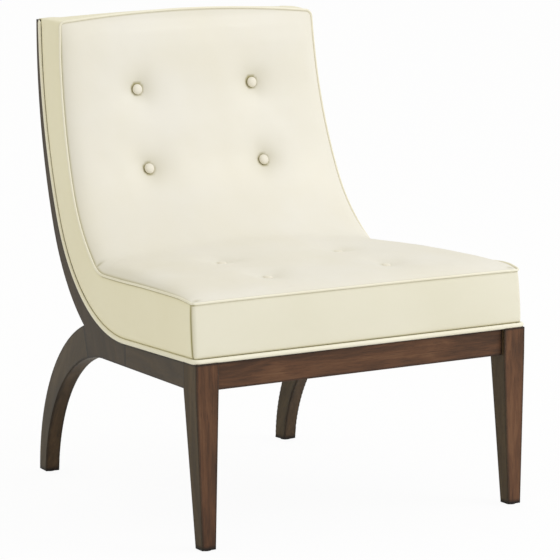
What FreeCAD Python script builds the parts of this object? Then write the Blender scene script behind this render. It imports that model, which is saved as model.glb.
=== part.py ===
"""Armless leather lounge chair: walnut frame with swept side rails and arched rear legs,
and a button-tufted upholstered shell that sits in it.

Lengths are millimetres. The chair faces -Y, +X is to the right seen from the front, +Z is up.
The side frames lie in two upright planes that close in towards the back. A place in such a
plane is written (along, up): along starts at the front corner, up starts at the floor.
"""

import FreeCAD, Part
import math
import os

import Sketcher
from FreeCAD import Placement, Rotation, Vector

doc = FreeCAD.newDocument("lounge_chair")
dims = doc.addObject("Spreadsheet::Sheet", "dims")

# Driving dimensions: name, value, meaning
DRIVING = [
    ("front_width", 678.0, "width across the front legs"),
    ("side_taper", 5.4, "angle by which each side plane closes in, degrees"),
    ("side_thick", 28.0, "thickness of rails, stiles and rear legs across the chair"),
    ("edge_round", 2.0, "rounding of the show-wood edges"),
    # front legs
    ("leg_wide", 44.5, "front leg across, at the rail"),
    ("leg_deep", 44.0, "front leg front to back, at the rail"),
    ("foot_wide", 27.0, "front foot across"),
    ("foot_deep", 25.0, "front foot front to back"),
    ("leg_draw_in", 8.3, "outer face of the leg draws in by this to the foot"),
    ("leg_splay", 4.7, "front face of the leg comes forward by this to the foot"),
    ("leg_top", 318.5, "height of the front corner of the frame"),
    # side frame outline
    ("rail_drop", 47.0, "side rail depth behind the front leg"),
    ("rail_fall", 2.6, "fall of the frame top towards the back, degrees"),
    ("rail_run", 294.5, "straight run of the frame top"),
    ("seat_sweep", 312.0, "radius of the frame top below the back"),
    ("seat_sweep_end", 65.5, "slope where that radius ends, degrees"),
    ("back_sweep", 892.0, "radius of the frame top up the back"),
    ("stile_height", 844.5, "height of the top of the stiles"),
    ("notch_along", 480.0, "notch between stile and rear leg, along"),
    ("notch_depth", 47.5, "wood between that notch and the frame top, measured upright"),
    ("stile_slope", 31.7, "slope of the stile's rear edge at the notch, degrees"),
    ("stile_low_radius", 343.5, "radius of the stile's rear edge, low"),
    ("stile_low_end", 66.9, "slope where that radius ends, degrees"),
    ("stile_high_radius", 905.0, "radius of the stile's rear edge, high"),
    ("arch_slope", 19.8, "fall of the rear leg's outer edge at the notch, degrees"),
    ("arch_outer", 329.5, "radius of the rear leg's outer edge"),
    ("arch_start", 385.0, "where the rail's underside turns down into the rear leg, along"),
    ("rear_foot_deep", 30.0, "rear foot front to back"),
    ("rear_rail_depth", 39.2, "side rail depth where the rear leg starts"),
    # apron and cross rails
    ("apron_height", 48.0, "front apron height"),
    ("apron_thick", 22.0, "front apron thickness"),
    ("apron_setback", 8.0, "front apron behind the leg faces"),
    ("rear_rail_thick", 22.0, "rear seat rail thickness"),
    ("block_leg", 52.0, "corner block along each rail"),
    ("block_height", 28.0, "corner block height"),
    ("block_under", 6.0, "corner block below the frame top"),
    ("dowel_radius", 5.0, "dowel radius"),
    ("dowel_long", 44.0, "dowel length"),
    ("dowel_pitch", 22.0, "distance between two dowels of a joint"),
    ("screw_radius", 2.2, "wood screw shank radius"),
    ("screw_long", 38.0, "wood screw length"),
    ("glide_radius", 9.0, "foot glide radius"),
    ("glide_high", 2.0, "foot glide below the foot"),
    # upholstered shell
    ("leather", 1.5, "leather thickness"),
    ("fit_gap", 0.3, "clearance between soft pieces and their neighbours"),
    ("shell_thick", 18.0, "plywood shell side thickness"),
    ("shell_deep", 28.0, "plywood shell side depth from the frame top"),
    ("shell_rail", 40.0, "width of the shell's cross rails"),
    ("shell_top_gap", 10.0, "plywood shell ends below the top seam"),
    ("deck_thick", 2.5, "thickness of the felt decks"),
    ("cloth_thick", 1.0, "thickness of the cloth under the seat"),
    ("cushion_setback", 16.0, "front seam behind the leg faces"),
    ("base_setback", 6.0, "foot of the front boxing behind the leg faces"),
    ("boxing_height", 102.0, "front boxing height, base to seam"),
    ("seat_fall", 2.1, "fall of the seat seam towards the back, degrees"),
    ("seat_run", 375.5, "straight run of the seat seam"),
    ("crease_radius", 74.0, "radius of the side seam at the crease"),
    ("crease_end", 38.4, "slope of the side seam where that radius ends, degrees"),
    ("lumbar_radius", 318.0, "radius of the side seam above it"),
    ("lumbar_end", 66.0, "slope where that radius ends, degrees"),
    ("upper_radius", 830.0, "radius of the side seam up the back"),
    ("seat_inset", 1.0, "seam inside the side plane at the seat front"),
    ("crease_inset", 1.0, "seam inside the side plane at the crease"),
    ("top_inset", 12.5, "seam inside the side plane at the top"),
    ("back_height", 845.0, "height of the top seam at its corners"),
    ("top_rise", 13.5, "rise of the top edge in the middle"),
    ("top_corner", 16.0, "corner radius of the top edge, seen from the front"),
    ("top_fall", 2.0, "fall of the top boxing towards the back, degrees"),
    ("seat_crown", 36.0, "crown of the seat above its side seams"),
    ("back_crown", 19.0, "crown of the back in front of its side seams"),
    ("crease_crown", 13.0, "crown left at the crease"),
    ("front_crown", 4.5, "rise of the front seam in the middle"),
    ("edge_roll", 42.0, "width over which the crown rolls down to a side seam"),
    # buttons and welts
    ("button_radius", 10.5, "covered button radius"),
    ("button_high", 6.0, "covered button height"),
    ("button_side", 2.2, "height of a button's rim"),
    ("button_spread", 123.0, "buttons from the middle of the chair"),
    ("seat_button_front", 123.0, "front row of seat buttons behind the leg faces"),
    ("seat_button_pitch", 154.0, "rows of seat buttons apart"),
    ("back_button_low", 577.0, "height of the lower row of back buttons"),
    ("back_button_pitch", 140.0, "rows of back buttons apart"),
    ("tuft_deep", 10.0, "how far a button is pulled into the crown"),
    ("tuft_reach", 50.0, "radius of the dimple round a button"),
    ("welt_radius", 2.2, "panel welt radius"),
    ("base_welt_radius", 4.25, "base welt radius at the seat"),
    ("twine_radius", 0.8, "tufting twine radius"),
    # springs and webbing
    ("spring_count", 5, "sinuous springs"),
    ("spring_wire", 1.9, "spring wire radius"),
    ("spring_wide", 46.0, "spring width between wire centres"),
    ("spring_bend", 11.5, "radius of a spring's bends"),
    ("spring_pitch", 110.0, "springs apart"),
    ("spring_clip", 12.0, "length and width of a spring clip"),
    ("web_count", 5, "webbing straps across the back"),
    ("web_wide", 50.0, "webbing strap width"),
    ("web_pitch", 76.0, "webbing straps apart, along the back"),
    ("web_thick", 1.5, "webbing strap thickness"),
]

for row, (name, value, meaning) in enumerate(DRIVING, start=1):
    dims.set(f"A{row}", name)
    dims.set(f"B{row}", str(value))
    dims.set(f"C{row}", meaning)
    dims.setAlias(f"B{row}", name)
doc.recompute()


def size(name):
    return float(getattr(dims, name))


def radians(name):
    return math.radians(size(name))


TAPER = radians("side_taper")
HALF_WIDTH = size("front_width") / 2
LEFT, RIGHT = -1, 1
SIDES = (("left", LEFT), ("right", RIGHT))
FAR = 1000.0
OVER = 6.0


class Track:
    """A line and the tangent arcs that follow it, in a side plane."""

    def __init__(self, along, up, heading):
        self.runs = []
        self.end = (along, up)
        self.heading = heading

    def line(self, length):
        start = self.end
        self.end = (start[0] + length * math.cos(self.heading), start[1] + length * math.sin(self.heading))
        self.runs.append(("line", start, self.end, self.heading, length))
        return self

    def arc(self, radius, heading):
        """Turn to a new heading: a left turn keeps a positive radius, a right turn a negative one."""
        start = self.end
        centre = (start[0] - radius * math.sin(self.heading), start[1] + radius * math.cos(self.heading))
        self.end = (centre[0] + radius * math.sin(heading), centre[1] - radius * math.cos(heading))
        self.runs.append(("arc", start, self.end, self.heading, radius * (heading - self.heading), radius))
        self.heading = heading
        return self

    def length(self):
        return sum(run[4] for run in self.runs)

    def at(self, distance):
        """Place and heading at a distance along the track; it runs on straight past its ends."""
        for run in self.runs:
            if distance <= run[4] or run is self.runs[-1]:
                break
            distance -= run[4]
        start, heading = run[1], run[3]
        if run[0] == "line" or distance < 0:
            return (start[0] + distance * math.cos(heading), start[1] + distance * math.sin(heading)), heading
        radius = run[5]
        turn = heading + distance / radius
        centre = (start[0] - radius * math.sin(heading), start[1] + radius * math.cos(heading))
        return (centre[0] + radius * math.sin(turn), centre[1] - radius * math.cos(turn)), turn

    def offset(self, distance):
        """The same track moved to its left."""
        first = self.runs[0]
        moved = Track(first[1][0] - distance * math.sin(first[3]), first[1][1] + distance * math.cos(first[3]),
                      first[3])
        heading = first[3]
        for run in self.runs:
            if run[0] == "line":
                moved.line(run[4])
            else:
                heading += run[4] / run[5]
                moved.arc(run[5] - distance, heading)
        return moved

    def pieces(self):
        """Sketch geometry of the runs; every arc is written anticlockwise."""
        shapes = []
        for run in self.runs:
            start, end = Vector(*run[1], 0), Vector(*run[2], 0)
            if run[0] == "line":
                shapes.append(Part.LineSegment(start, end))
                continue
            heading, radius = run[3], run[5]
            turned = heading + run[4] / radius
            centre = Vector(run[1][0] - radius * math.sin(heading), run[1][1] + radius * math.cos(heading), 0)
            quarter = math.copysign(math.pi / 2, radius)
            low, high = sorted((heading - quarter, turned - quarter))
            shapes.append(Part.ArcOfCircle(Part.Circle(centre, Vector(0, 0, 1), abs(radius)), low, high))
        return shapes


def heading_at_height(track_start, heading, radius, height):
    """Heading at which an arc that starts at a place reaches a height."""
    cosine = math.cos(heading) - (height - track_start[1]) / radius
    return math.acos(max(-1.0, min(1.0, cosine)))


# The frame top: where the leather shell meets the wood
def frame_top(height):
    track = Track(0, size("leg_top"), -radians("rail_fall"))
    track.line(size("rail_run")).arc(size("seat_sweep"), radians("seat_sweep_end"))
    last = heading_at_height(track.end, track.heading, size("back_sweep"), height)
    return track.arc(size("back_sweep"), last)


TOP_LINE = frame_top(size("stile_height"))
LONG_TOP_LINE = frame_top(size("back_height") + 80)


# The side seam of the sitting face
def side_seam(height):
    along = size("cushion_setback") / math.cos(TAPER)
    up = size("leg_top") - along * math.tan(radians("rail_fall")) + size("boxing_height")
    track = Track(along, up, -radians("seat_fall"))
    track.line(size("seat_run")).arc(size("crease_radius"), radians("crease_end"))
    track.arc(size("lumbar_radius"), radians("lumbar_end"))
    last = heading_at_height(track.end, track.heading, size("upper_radius"), height)
    return track.arc(size("upper_radius"), last)


SEAM = side_seam(size("back_height"))
LONG_SEAM = side_seam(size("back_height") + 40)
SEAT_LENGTH = size("seat_run") + size("crease_radius") * (radians("crease_end") + radians("seat_fall")) * 0.55


def to_chair(side, along, up, inward=0.0):
    """A place in a side plane, or a distance inside it, as a point of the chair."""
    x = HALF_WIDTH - along * math.sin(TAPER) - inward * math.cos(TAPER)
    y = along * math.cos(TAPER) - inward * math.sin(TAPER)
    return Vector(side * x, y, up)


def side_rotation(side):
    """Turns a sketch's X to along, its Y to up and its Z across the chair."""
    along = Vector(-side * math.sin(TAPER), math.cos(TAPER), 0)
    up = Vector(0, 0, 1)
    return Rotation(along, up, along.cross(up), "ZXY")


def frame_top_at(along):
    """Height of the frame top at a place along it."""
    low, high = 0.0, TOP_LINE.length()
    for _ in range(60):
        middle = (low + high) / 2
        if TOP_LINE.at(middle)[0][0] < along:
            low = middle
        else:
            high = middle
    return TOP_LINE.at(low)[0][1]


# Side frame corners, each a place (along, up)
NOTCH = (size("notch_along"), frame_top_at(size("notch_along")) - size("notch_depth"))
ARCH_START = (size("arch_start"),
              size("leg_top") - size("arch_start") * math.tan(radians("rail_fall")) - size("rear_rail_depth"))
RAIL_BOTTOM_SLOPE = (size("leg_top") - size("rail_drop") - ARCH_START[1]) / ARCH_START[0]


def rail_bottom_at(along):
    return size("leg_top") - size("rail_drop") - along * RAIL_BOTTOM_SLOPE


def rear_leg_outer():
    """Outer edge of the rear leg, one arc from the notch to the floor."""
    slope = -radians("arch_slope")
    cosine = math.cos(slope) - NOTCH[1] / size("arch_outer")
    return Track(*NOTCH, slope).arc(-size("arch_outer"), -math.acos(cosine))


LEG_OUTER = rear_leg_outer()
REAR_FOOT = LEG_OUTER.end[0]


def rear_leg_inner():
    """Inner edge of the rear leg, one arc that leaves the rail level."""
    across = REAR_FOOT - size("rear_foot_deep") - ARCH_START[0]
    radius = (across ** 2 + ARCH_START[1] ** 2) / (2 * ARCH_START[1])
    return Track(*ARCH_START, 0).arc(-radius, -math.acos(1 - ARCH_START[1] / radius))


# The origin is on the floor, under the middle of the overall box
GLIDE = size("glide_high")
HOME = Vector(0, (size("leg_splay") - REAR_FOOT * math.cos(TAPER)) / 2, GLIDE)

pieces = []


def keep(item, label):
    """Name a finished sub-part."""
    item.Label = label
    pieces.append(item)
    return item


def origin_plane(body, role):
    return next(item for item in body.Origin.OriginFeatures if item.Role == role)


def closed_sketch(body, name, geometry, lift=None):
    """A sketch on the body's XY plane whose lines and arcs follow each other round."""
    sketch = body.newObject("Sketcher::SketchObject", name)
    sketch.AttachmentSupport = (origin_plane(body, "XY_Plane"), [""])
    sketch.MapMode = "FlatFace"
    if lift:
        sketch.setExpression("AttachmentOffset.Base.z", lift)
    sketch.addGeometry(geometry, False)
    count = len(geometry)
    for index in range(count):
        following = (index + 1) % count
        own_end, next_end = meeting_ends(sketch.Geometry[index], sketch.Geometry[following])
        sketch.addConstraint(Sketcher.Constraint("Coincident", index, own_end, following, next_end))
    return sketch


def meeting_ends(piece, following):
    """Which ends of two neighbours meet: 1 is a start and 2 an end, and arcs always run anticlockwise."""
    gaps = {}
    for own_end, own in ((1, piece.StartPoint), (2, piece.EndPoint)):
        for next_end, other in ((1, following.StartPoint), (2, following.EndPoint)):
            gaps[own_end, next_end] = own.distanceToPoint(other)
    return min(gaps, key=gaps.get)


def add_pad(body, sketch, length, reverse=False):
    item = body.newObject("PartDesign::Pad", sketch.Name + "_pad")
    item.Profile = sketch
    item.setExpression("Length", length)
    item.Reversed = reverse
    return item


def straight(start, end):
    return Part.LineSegment(Vector(*start, 0), Vector(*end, 0))


def loop(*points):
    """Straight lines from point to point and back to the first."""
    return [straight(a, b) for a, b in zip(points, points[1:] + points[:1])]


def reversed_pieces(track):
    return track.pieces()[::-1]


def round_edges(body, base, wanted, wall=None):
    """Ease the show edges that a test picks; where the wood is very thin, by a third of its wall."""
    doc.recompute()
    names = [f"Edge{number}" for number, edge in enumerate(base.Shape.Edges, start=1) if wanted(edge)]
    item = body.newObject("PartDesign::Fillet", base.Name + "_rounds")
    item.Base = (base, names)
    item.setExpression("Radius", f"min(dims.edge_round; {wall / 3:.4f})" if wall else "dims.edge_round")
    return item


def side_body(name, side, inward=0.0):
    """A body whose XY plane is a side plane, or a plane inside it."""
    body = doc.addObject("PartDesign::Body", name)
    body.Placement = Placement(to_chair(side, 0, 0, inward) + HOME, side_rotation(side))
    return body


def side_board(name, side, geometry, thick="dims.side_thick", inward=0.0):
    """A flat board in a side plane, as thick as asked towards the middle of the chair."""
    body = side_body(name, side, inward)
    sketch = closed_sketch(body, name + "_outline", geometry)
    board = add_pad(body, sketch, thick, reverse=(side == RIGHT))
    return body, board


# Dowels and screws: a pin and the hole that takes it

FIT = 0.05
dowels, screws = [], []
holes = {}


def cylinder(name, radius, length, place):
    item = doc.addObject("Part::Cylinder", name)
    item.setExpression("Radius", radius)
    item.setExpression("Height", length)
    item.Placement = place
    return item


def towards(direction):
    return Rotation(Vector(0, 0, 1), direction)


def dowel(middle, direction, first, second):
    """A dowel across a glued joint, half in each of two pieces."""
    number = len(dowels) + 1
    start = middle - direction * (size("dowel_long") / 2)
    place = Placement(start + HOME, towards(direction))
    dowels.append(cylinder(f"dowel_pin_{number}", "dims.dowel_radius", "dims.dowel_long", place))
    deep = Placement(start - direction + HOME, towards(direction))
    hole = cylinder(f"dowel_hole_{number}", f"dims.dowel_radius + {FIT}", "dims.dowel_long + 2", deep)
    for node in (first, second):
        holes.setdefault(node, []).append(hole)


def drilled(body, label, extra=()):
    """The piece with its dowel and screw holes and any end cuts taken out."""
    item = body
    for number, tool in enumerate(holes.get(label, []) + list(extra), start=1):
        cut = doc.addObject("Part::Cut", f"{label}_cut_{number}")
        cut.Base = item
        cut.Tool = tool
        item = cut
    return keep(item, label)


def box(name, low, high):
    """A box between two corners, given in the chair before its origin is moved."""
    item = doc.addObject("Part::Box", name)
    item.Length, item.Width, item.Height = (high[axis] - low[axis] for axis in range(3))
    item.Placement = Placement(Vector(*low) + HOME, Rotation())
    return item


# Places where the joints of the frame lie
APRON_MIDDLE_UP = size("leg_top") - size("apron_height") / 2
RAIL_JOINT = size("rail_run")


def plan_dowels():
    up = Vector(0, 0, 1)
    across = Vector(1, 0, 0)
    half_pitch = size("dowel_pitch") / 2
    for name, side in SIDES:
        along = (to_chair(side, 1, 0) - to_chair(side, 0, 0)).normalize()
        leg_face = side * (HALF_WIDTH - size("leg_wide"))
        apron_y = size("apron_setback") + size("apron_thick") / 2
        for step in (-half_pitch, half_pitch):
            dowel(Vector(leg_face, apron_y, APRON_MIDDLE_UP + step), across, "front_apron", f"front_leg_{name}")
        middle = size("side_thick") / 2
        leg_back = (size("leg_deep") + middle * math.sin(TAPER)) / math.cos(TAPER)
        for start, first, second in ((leg_back, f"side_rail_{name}", f"front_leg_{name}"),
                                     (RAIL_JOINT, f"side_rail_{name}", f"back_stile_{name}")):
            height = (frame_top_at(start) + rail_bottom_at(start)) / 2
            for step in (-half_pitch, half_pitch):
                dowel(to_chair(side, start, height + step, middle), along, first, second)
        direction = along * math.cos(radians("arch_slope")) - up * math.sin(radians("arch_slope"))
        for depth in (size("dowel_pitch") / 2 + 4, size("dowel_pitch") * 1.5 + 4):
            place = (NOTCH[0] - depth * math.sin(radians("arch_slope")),
                     NOTCH[1] - depth * math.cos(radians("arch_slope")))
            dowel(to_chair(side, *place, middle), direction, f"rear_leg_{name}", f"back_stile_{name}")


# Front legs: a square head at the rail and a long taper below it
def front_leg(name, side):
    body = doc.addObject("PartDesign::Body", f"front_leg_{name}_body")
    body.Placement = Placement(HOME, Rotation())
    outer = side * HALF_WIDTH
    inner = side * (HALF_WIDTH - size("leg_wide"))
    foot_outer = outer - side * size("leg_draw_in")
    foot_inner = foot_outer - side * size("foot_wide")
    foot_front = -size("leg_splay")
    foot_back = foot_front + size("foot_deep")
    head = loop((outer, 0), (outer, size("leg_deep")), (inner, size("leg_deep")), (inner, 0))
    foot = loop((foot_outer, foot_front), (foot_outer, foot_back),
                (foot_inner, foot_back), (foot_inner, foot_front))
    head_sketch = closed_sketch(body, f"leg_{name}_head", head, "dims.leg_top - dims.rail_drop")
    foot_sketch = closed_sketch(body, f"leg_{name}_foot", foot)
    taper = body.newObject("PartDesign::AdditiveLoft", f"leg_{name}_taper")
    taper.Profile = foot_sketch
    taper.Sections = [head_sketch]
    taper.Ruled = True
    doc.recompute()
    block = add_pad(body, head_sketch, "dims.rail_drop")
    round_edges(body, block, lambda edge: abs(edge.tangentAt(edge.FirstParameter).z) > 0.9)
    drilled(body, f"front_leg_{name}")


def stile_rear_edge():
    """Rear edge of the stile, from the notch up to its top."""
    edge = Track(*NOTCH, radians("stile_slope")).arc(size("stile_low_radius"), radians("stile_low_end"))
    last = heading_at_height(edge.end, edge.heading, size("stile_high_radius"), size("stile_height"))
    return edge.arc(size("stile_high_radius"), last)


STILE_TOP_WALL = stile_rear_edge().end[0] - TOP_LINE.end[0]


def side_frame_outline():
    """Rail, stile and rear leg as one outline, from the front end of the rail's underside round to its top."""
    front_end = size("leg_deep") / math.cos(TAPER) - 2
    inner = rear_leg_inner()
    rear_edge = stile_rear_edge()
    front_edge = Track(RAIL_JOINT, frame_top_at(RAIL_JOINT), -radians("rail_fall"))
    for run in TOP_LINE.runs[1:]:
        front_edge.arc(run[5], front_edge.heading + run[4] / run[5])
    low_front = (front_end, rail_bottom_at(front_end))
    high_front = (front_end, frame_top_at(front_end))
    outline = [straight(low_front, ARCH_START)] + inner.pieces()
    outline += [straight(inner.end, LEG_OUTER.end)] + reversed_pieces(LEG_OUTER)
    outline += rear_edge.pieces() + [straight(rear_edge.end, front_edge.end)] + reversed_pieces(front_edge)
    outline.append(straight((RAIL_JOINT, frame_top_at(RAIL_JOINT)), high_front))
    return outline + [straight(high_front, low_front)]


def long_edge(edge):
    """Picks the outline edges of a side board, on both of its faces, but not those of its sawn ends."""
    flat = len({round(vertex.Point.z, 3) for vertex in edge.Vertexes}) == 1
    behind_leg = edge.BoundBox.XMax > size("leg_deep") + 1
    below_top = edge.BoundBox.YMin < size("stile_height") - 1
    return flat and behind_leg and below_top


def side_cutter(name, side, place, turn, along, up):
    """A box across a side board that covers a range along and up, turned about its own corner."""
    item = doc.addObject("Part::Box", name)
    item.Length, item.Width, item.Height = along[1] - along[0], up[1] - up[0], FAR
    spin = side_rotation(side).multiply(Rotation(Vector(0, 0, 1), math.degrees(turn)))
    corner = to_chair(side, *place) + HOME + spin.multVec(Vector(along[0], up[0], -FAR / 2))
    item.Placement = Placement(corner, spin)
    return item


def side_frame(name, side):
    """One swept board, eased all round, then sawn into rail, stile and rear leg."""
    body, board = side_board(f"side_frame_{name}", side, side_frame_outline())
    round_edges(body, board, long_edge, STILE_TOP_WALL)
    whole = (-FAR, FAR)
    ahead = side_cutter(f"rail_{name}_ahead", side, (RAIL_JOINT, 0), 0, (-FAR, 0), whole)
    behind = side_cutter(f"rail_{name}_behind", side, (RAIL_JOINT, 0), 0, (0, FAR), whole)
    below = side_cutter(f"leg_{name}_region", side, NOTCH, -radians("arch_slope"), (0, FAR), (-FAR, 0))
    in_front = box(f"rail_{name}_end_cut", (-HALF_WIDTH - OVER, -FAR, 0),
                   (HALF_WIDTH + OVER, size("leg_deep"), FAR))
    drilled(body, f"side_rail_{name}", [in_front, behind])
    drilled(body, f"back_stile_{name}", [ahead, below])
    leg = doc.addObject("Part::Common", f"rear_leg_{name}_sawn")
    leg.Base = body
    leg.Tool = below
    drilled(leg, f"rear_leg_{name}")


def front_apron():
    half = HALF_WIDTH - size("leg_wide")
    front = size("apron_setback")
    back = front + size("apron_thick")
    body = doc.addObject("PartDesign::Body", "front_apron_body")
    body.Placement = Placement(HOME + Vector(0, 0, size("leg_top") - size("apron_height")), Rotation())
    sketch = closed_sketch(body, "apron_plan", loop((-half, front), (half, front), (half, back), (-half, back)))
    block = add_pad(body, sketch, "dims.apron_height")
    round_edges(body, block, lambda edge: abs(edge.tangentAt(edge.FirstParameter).x) > 0.9)
    drilled(body, "front_apron")


# Under the seat: the rear rail, corner blocks and their screws follow the fall of the frame top

SEAT_TILT = Rotation(Vector(1, 0, 0), -size("rail_fall"))
SEAT_BASE = Vector(0, 0, size("leg_top"))


def on_seat(x, y, lift):
    """A point given square to the sloping frame top."""
    return SEAT_BASE + SEAT_TILT.multVec(Vector(x, y, lift))


def inner_face(y):
    """Distance from the middle to the inner face of a side board at a depth of the chair."""
    return HALF_WIDTH - y * math.tan(TAPER) - size("side_thick") / math.cos(TAPER)


REAR_RAIL_BACK = size("arch_start") * math.cos(TAPER) + size("rear_rail_thick") / 2
REAR_RAIL_FRONT = REAR_RAIL_BACK - size("rear_rail_thick")
SPRING_LEVEL = size("shell_deep") - size("spring_wire")
SEAT_RAIL_TOP = SPRING_LEVEL - size("spring_wire") - 2.0


def seat_prism(name, label, corners, low, height):
    """An upright prism on the sloping frame top, from a plan outline."""
    body = doc.addObject("PartDesign::Body", name + "_body")
    body.Placement = Placement(on_seat(0, 0, low) + HOME, SEAT_TILT)
    sketch = closed_sketch(body, name + "_plan", loop(*corners))
    add_pad(body, sketch, height)
    return drilled(body, label)


def rear_seat_rail():
    """Cross rail between the side boards; the springs end on it."""
    front, back = REAR_RAIL_FRONT, REAR_RAIL_BACK
    corners = ((-inner_face(front), front), (inner_face(front), front),
               (inner_face(back), back), (-inner_face(back), back))
    low = -size("rear_rail_depth") + 1.0
    seat_prism("rear_seat_rail", "rear_seat_rail", corners, low, f"{SEAT_RAIL_TOP - low}")


def plan_rear_dowels():
    middle = (REAR_RAIL_FRONT + REAR_RAIL_BACK) / 2
    for name, side in SIDES:
        for lift in (-size("dowel_pitch") / 4 - 14, -size("dowel_pitch") / 4 + 4):
            place = on_seat(side * inner_face(middle), middle, lift)
            dowel(place, Vector(side, 0, 0), "rear_seat_rail", f"back_stile_{name}")


def corner_blocks():
    """Glue blocks in the four corners; the front pair is notched round the legs."""
    top = -size("block_under")
    apron_back = size("apron_setback") + size("apron_thick")
    leg_inner = HALF_WIDTH - size("leg_wide")
    leg_back = size("leg_deep")
    reach = size("block_leg")
    for name, side in SIDES:
        front = [(leg_inner - reach, apron_back), (leg_inner, apron_back), (leg_inner, leg_back),
                 (inner_face(leg_back), leg_back), (inner_face(leg_back + reach), leg_back + reach)]
        rear = [(inner_face(REAR_RAIL_FRONT), REAR_RAIL_FRONT),
                (inner_face(REAR_RAIL_FRONT) - reach, REAR_RAIL_FRONT),
                (inner_face(REAR_RAIL_FRONT - reach), REAR_RAIL_FRONT - reach)]
        for corner, outline in (("front", front), ("rear", rear)):
            label = f"corner_block_{corner}_{name}"
            points = [(side * x, y) for x, y in outline]
            seat_prism(label, label, points, top - size("block_height"), "dims.block_height")


def screw(head, direction, nodes):
    """A countersunk wood screw and its hole, which breaks through the nodes it joins."""
    number = len(screws) + 1
    radius, length = size("screw_radius"), size("screw_long")
    for kind, grow in (("screw", 0.0), ("screw_hole", FIT)):
        outline = [Vector(0, 0, 0), Vector(2 * radius + grow, 0, 0), Vector(2 * radius + grow, 0, 1),
                   Vector(radius + grow, 0, 1 + radius), Vector(radius + grow, 0, length - radius),
                   Vector(0, 0, length + grow), Vector(0, 0, 0)]
        shape = Part.Face(Part.makePolygon(outline)).revolve(Vector(0, 0, 0), Vector(0, 0, 1), 360)
        item = doc.addObject("Part::Feature", f"{kind}_{number}")
        item.Shape = shape
        item.Placement = Placement(head + HOME, towards(direction))
        if kind == "screw":
            screws.append(item)
        else:
            for node in nodes:
                holes.setdefault(node, []).append(item)


def plan_screws():
    """Two screws through each corner block, one into each rail it is glued to."""
    lift = -size("block_under") - size("block_height") / 2
    apron_back = size("apron_setback") + size("apron_thick")
    reach = size("block_leg")
    sunk = 8.0
    for name, side in SIDES:
        leg_inner = HALF_WIDTH - size("leg_wide")
        rail_inner = inner_face(size("leg_deep") + reach / 2)
        along = (to_chair(side, 1, 0) - to_chair(side, 0, 0)).normalize()
        outward = Vector(0, 0, 1).cross(along) * (-side)
        front = f"corner_block_front_{name}"
        rear = f"corner_block_rear_{name}"
        screw(on_seat(side * (leg_inner - reach / 2), apron_back + 22, lift), Vector(0, -1, 0),
              (front, "front_apron"))
        screw(on_seat(side * (rail_inner - 24), size("leg_deep") + reach / 2, lift + sunk), outward,
              (front, f"side_rail_{name}"))
        rear_inner = inner_face(REAR_RAIL_FRONT)
        screw(on_seat(side * (rear_inner - reach / 2), REAR_RAIL_FRONT - 22, lift), Vector(0, 1, 0),
              (rear, "rear_seat_rail"))
        block_middle = REAR_RAIL_FRONT - reach / 2
        screw(on_seat(side * (inner_face(block_middle) - 24), block_middle, lift + sunk), outward,
              (rear, f"back_stile_{name}"))


def group(items, label):
    """Identical fasteners, kept as separate solids in one sub-part."""
    item = doc.addObject("Part::Compound", label + "_group")
    item.Links = items
    keep(item, label)


def foot_glides():
    """A round glide nailed under each foot."""
    glides = []
    front_y = -size("leg_splay") + size("foot_deep") / 2
    front_x = HALF_WIDTH - size("leg_draw_in") - size("foot_wide") / 2
    rear_along = REAR_FOOT - size("rear_foot_deep") / 2
    for name, side in SIDES:
        rear = to_chair(side, rear_along, 0, size("side_thick") / 2)
        for corner, place in (("front", Vector(side * front_x, front_y, 0)), ("rear", rear)):
            spot = Placement(place + HOME - Vector(0, 0, size("glide_high")), Rotation())
            glides.append(cylinder(f"glide_{corner}_{name}", "dims.glide_radius", "dims.glide_high", spot))
    group(glides, "foot_glides")


# Places across the chair that the shell and its padding share

WELT_ROOM = size("welt_radius") + size("fit_gap")
SHELL_SKIN = size("base_welt_radius") + size("fit_gap")
SHELL_FRONT = size("base_setback") + size("leather") + size("fit_gap")
DECK_NEAR = size("shell_deep") + size("fit_gap")
FOAM_BASE = DECK_NEAR + size("deck_thick") + size("fit_gap")


def across(track, distance, offset, inset):
    """Half width, depth and height of a place off a track, a distance inside the side plane."""
    (along, up), heading = track.at(distance)
    along -= offset * math.sin(heading)
    up += offset * math.cos(heading)
    return HALF_WIDTH - along * math.sin(TAPER) - inset / math.cos(TAPER), along * math.cos(TAPER), up


def mirrored_wire(points):
    """A closed outline from its right-hand points, bottom to top, and their mirror images."""
    corners = [Vector(*point) for point in points]
    corners += [Vector(-x, y, z) for x, y, z in reversed(points)]
    return Part.makePolygon(corners + corners[:1])


def steps(first, last, longest):
    """Even stations between two distances, none further apart than asked."""
    count = max(1, math.ceil((last - first) / longest))
    return [first + (last - first) * number / count for number in range(count + 1)]


def stations(track, first, last, pace=45.0, turn=0.25):
    """Distances from one to another that fall on the joints between runs, closer together where it bends."""
    found = [first]
    reached = 0.0
    for run in track.runs:
        low, high = max(found[-1], reached), min(last, reached + run[4])
        reached += run[4]
        longest = min(pace, turn * abs(run[5])) if run[0] == "arc" else pace
        if high > low + 5:
            found += steps(low, high, longest)[1:]
    if last > found[-1] + 0.01:
        found += steps(found[-1], last, pace)[1:]
    return found


def shaped(name, shape):
    item = doc.addObject("Part::Feature", name)
    item.Shape = shape
    item.Placement = Placement(HOME, Rotation())
    return item


def ribbon(name, near, far, inset, first, last, smooth=True):
    """A strip across the chair between two offsets of the frame top."""
    wires = []
    for distance in stations(LONG_TOP_LINE, first, last, 40, 0.12):
        low = across(LONG_TOP_LINE, distance, near, inset)
        high = across(LONG_TOP_LINE, distance, far, inset)
        wires.append(mirrored_wire([low, high]))
    return shaped(name, Part.makeLoft(wires, True, not smooth))


# The shell: plywood sides with cross rails, springs and webbing

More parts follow.
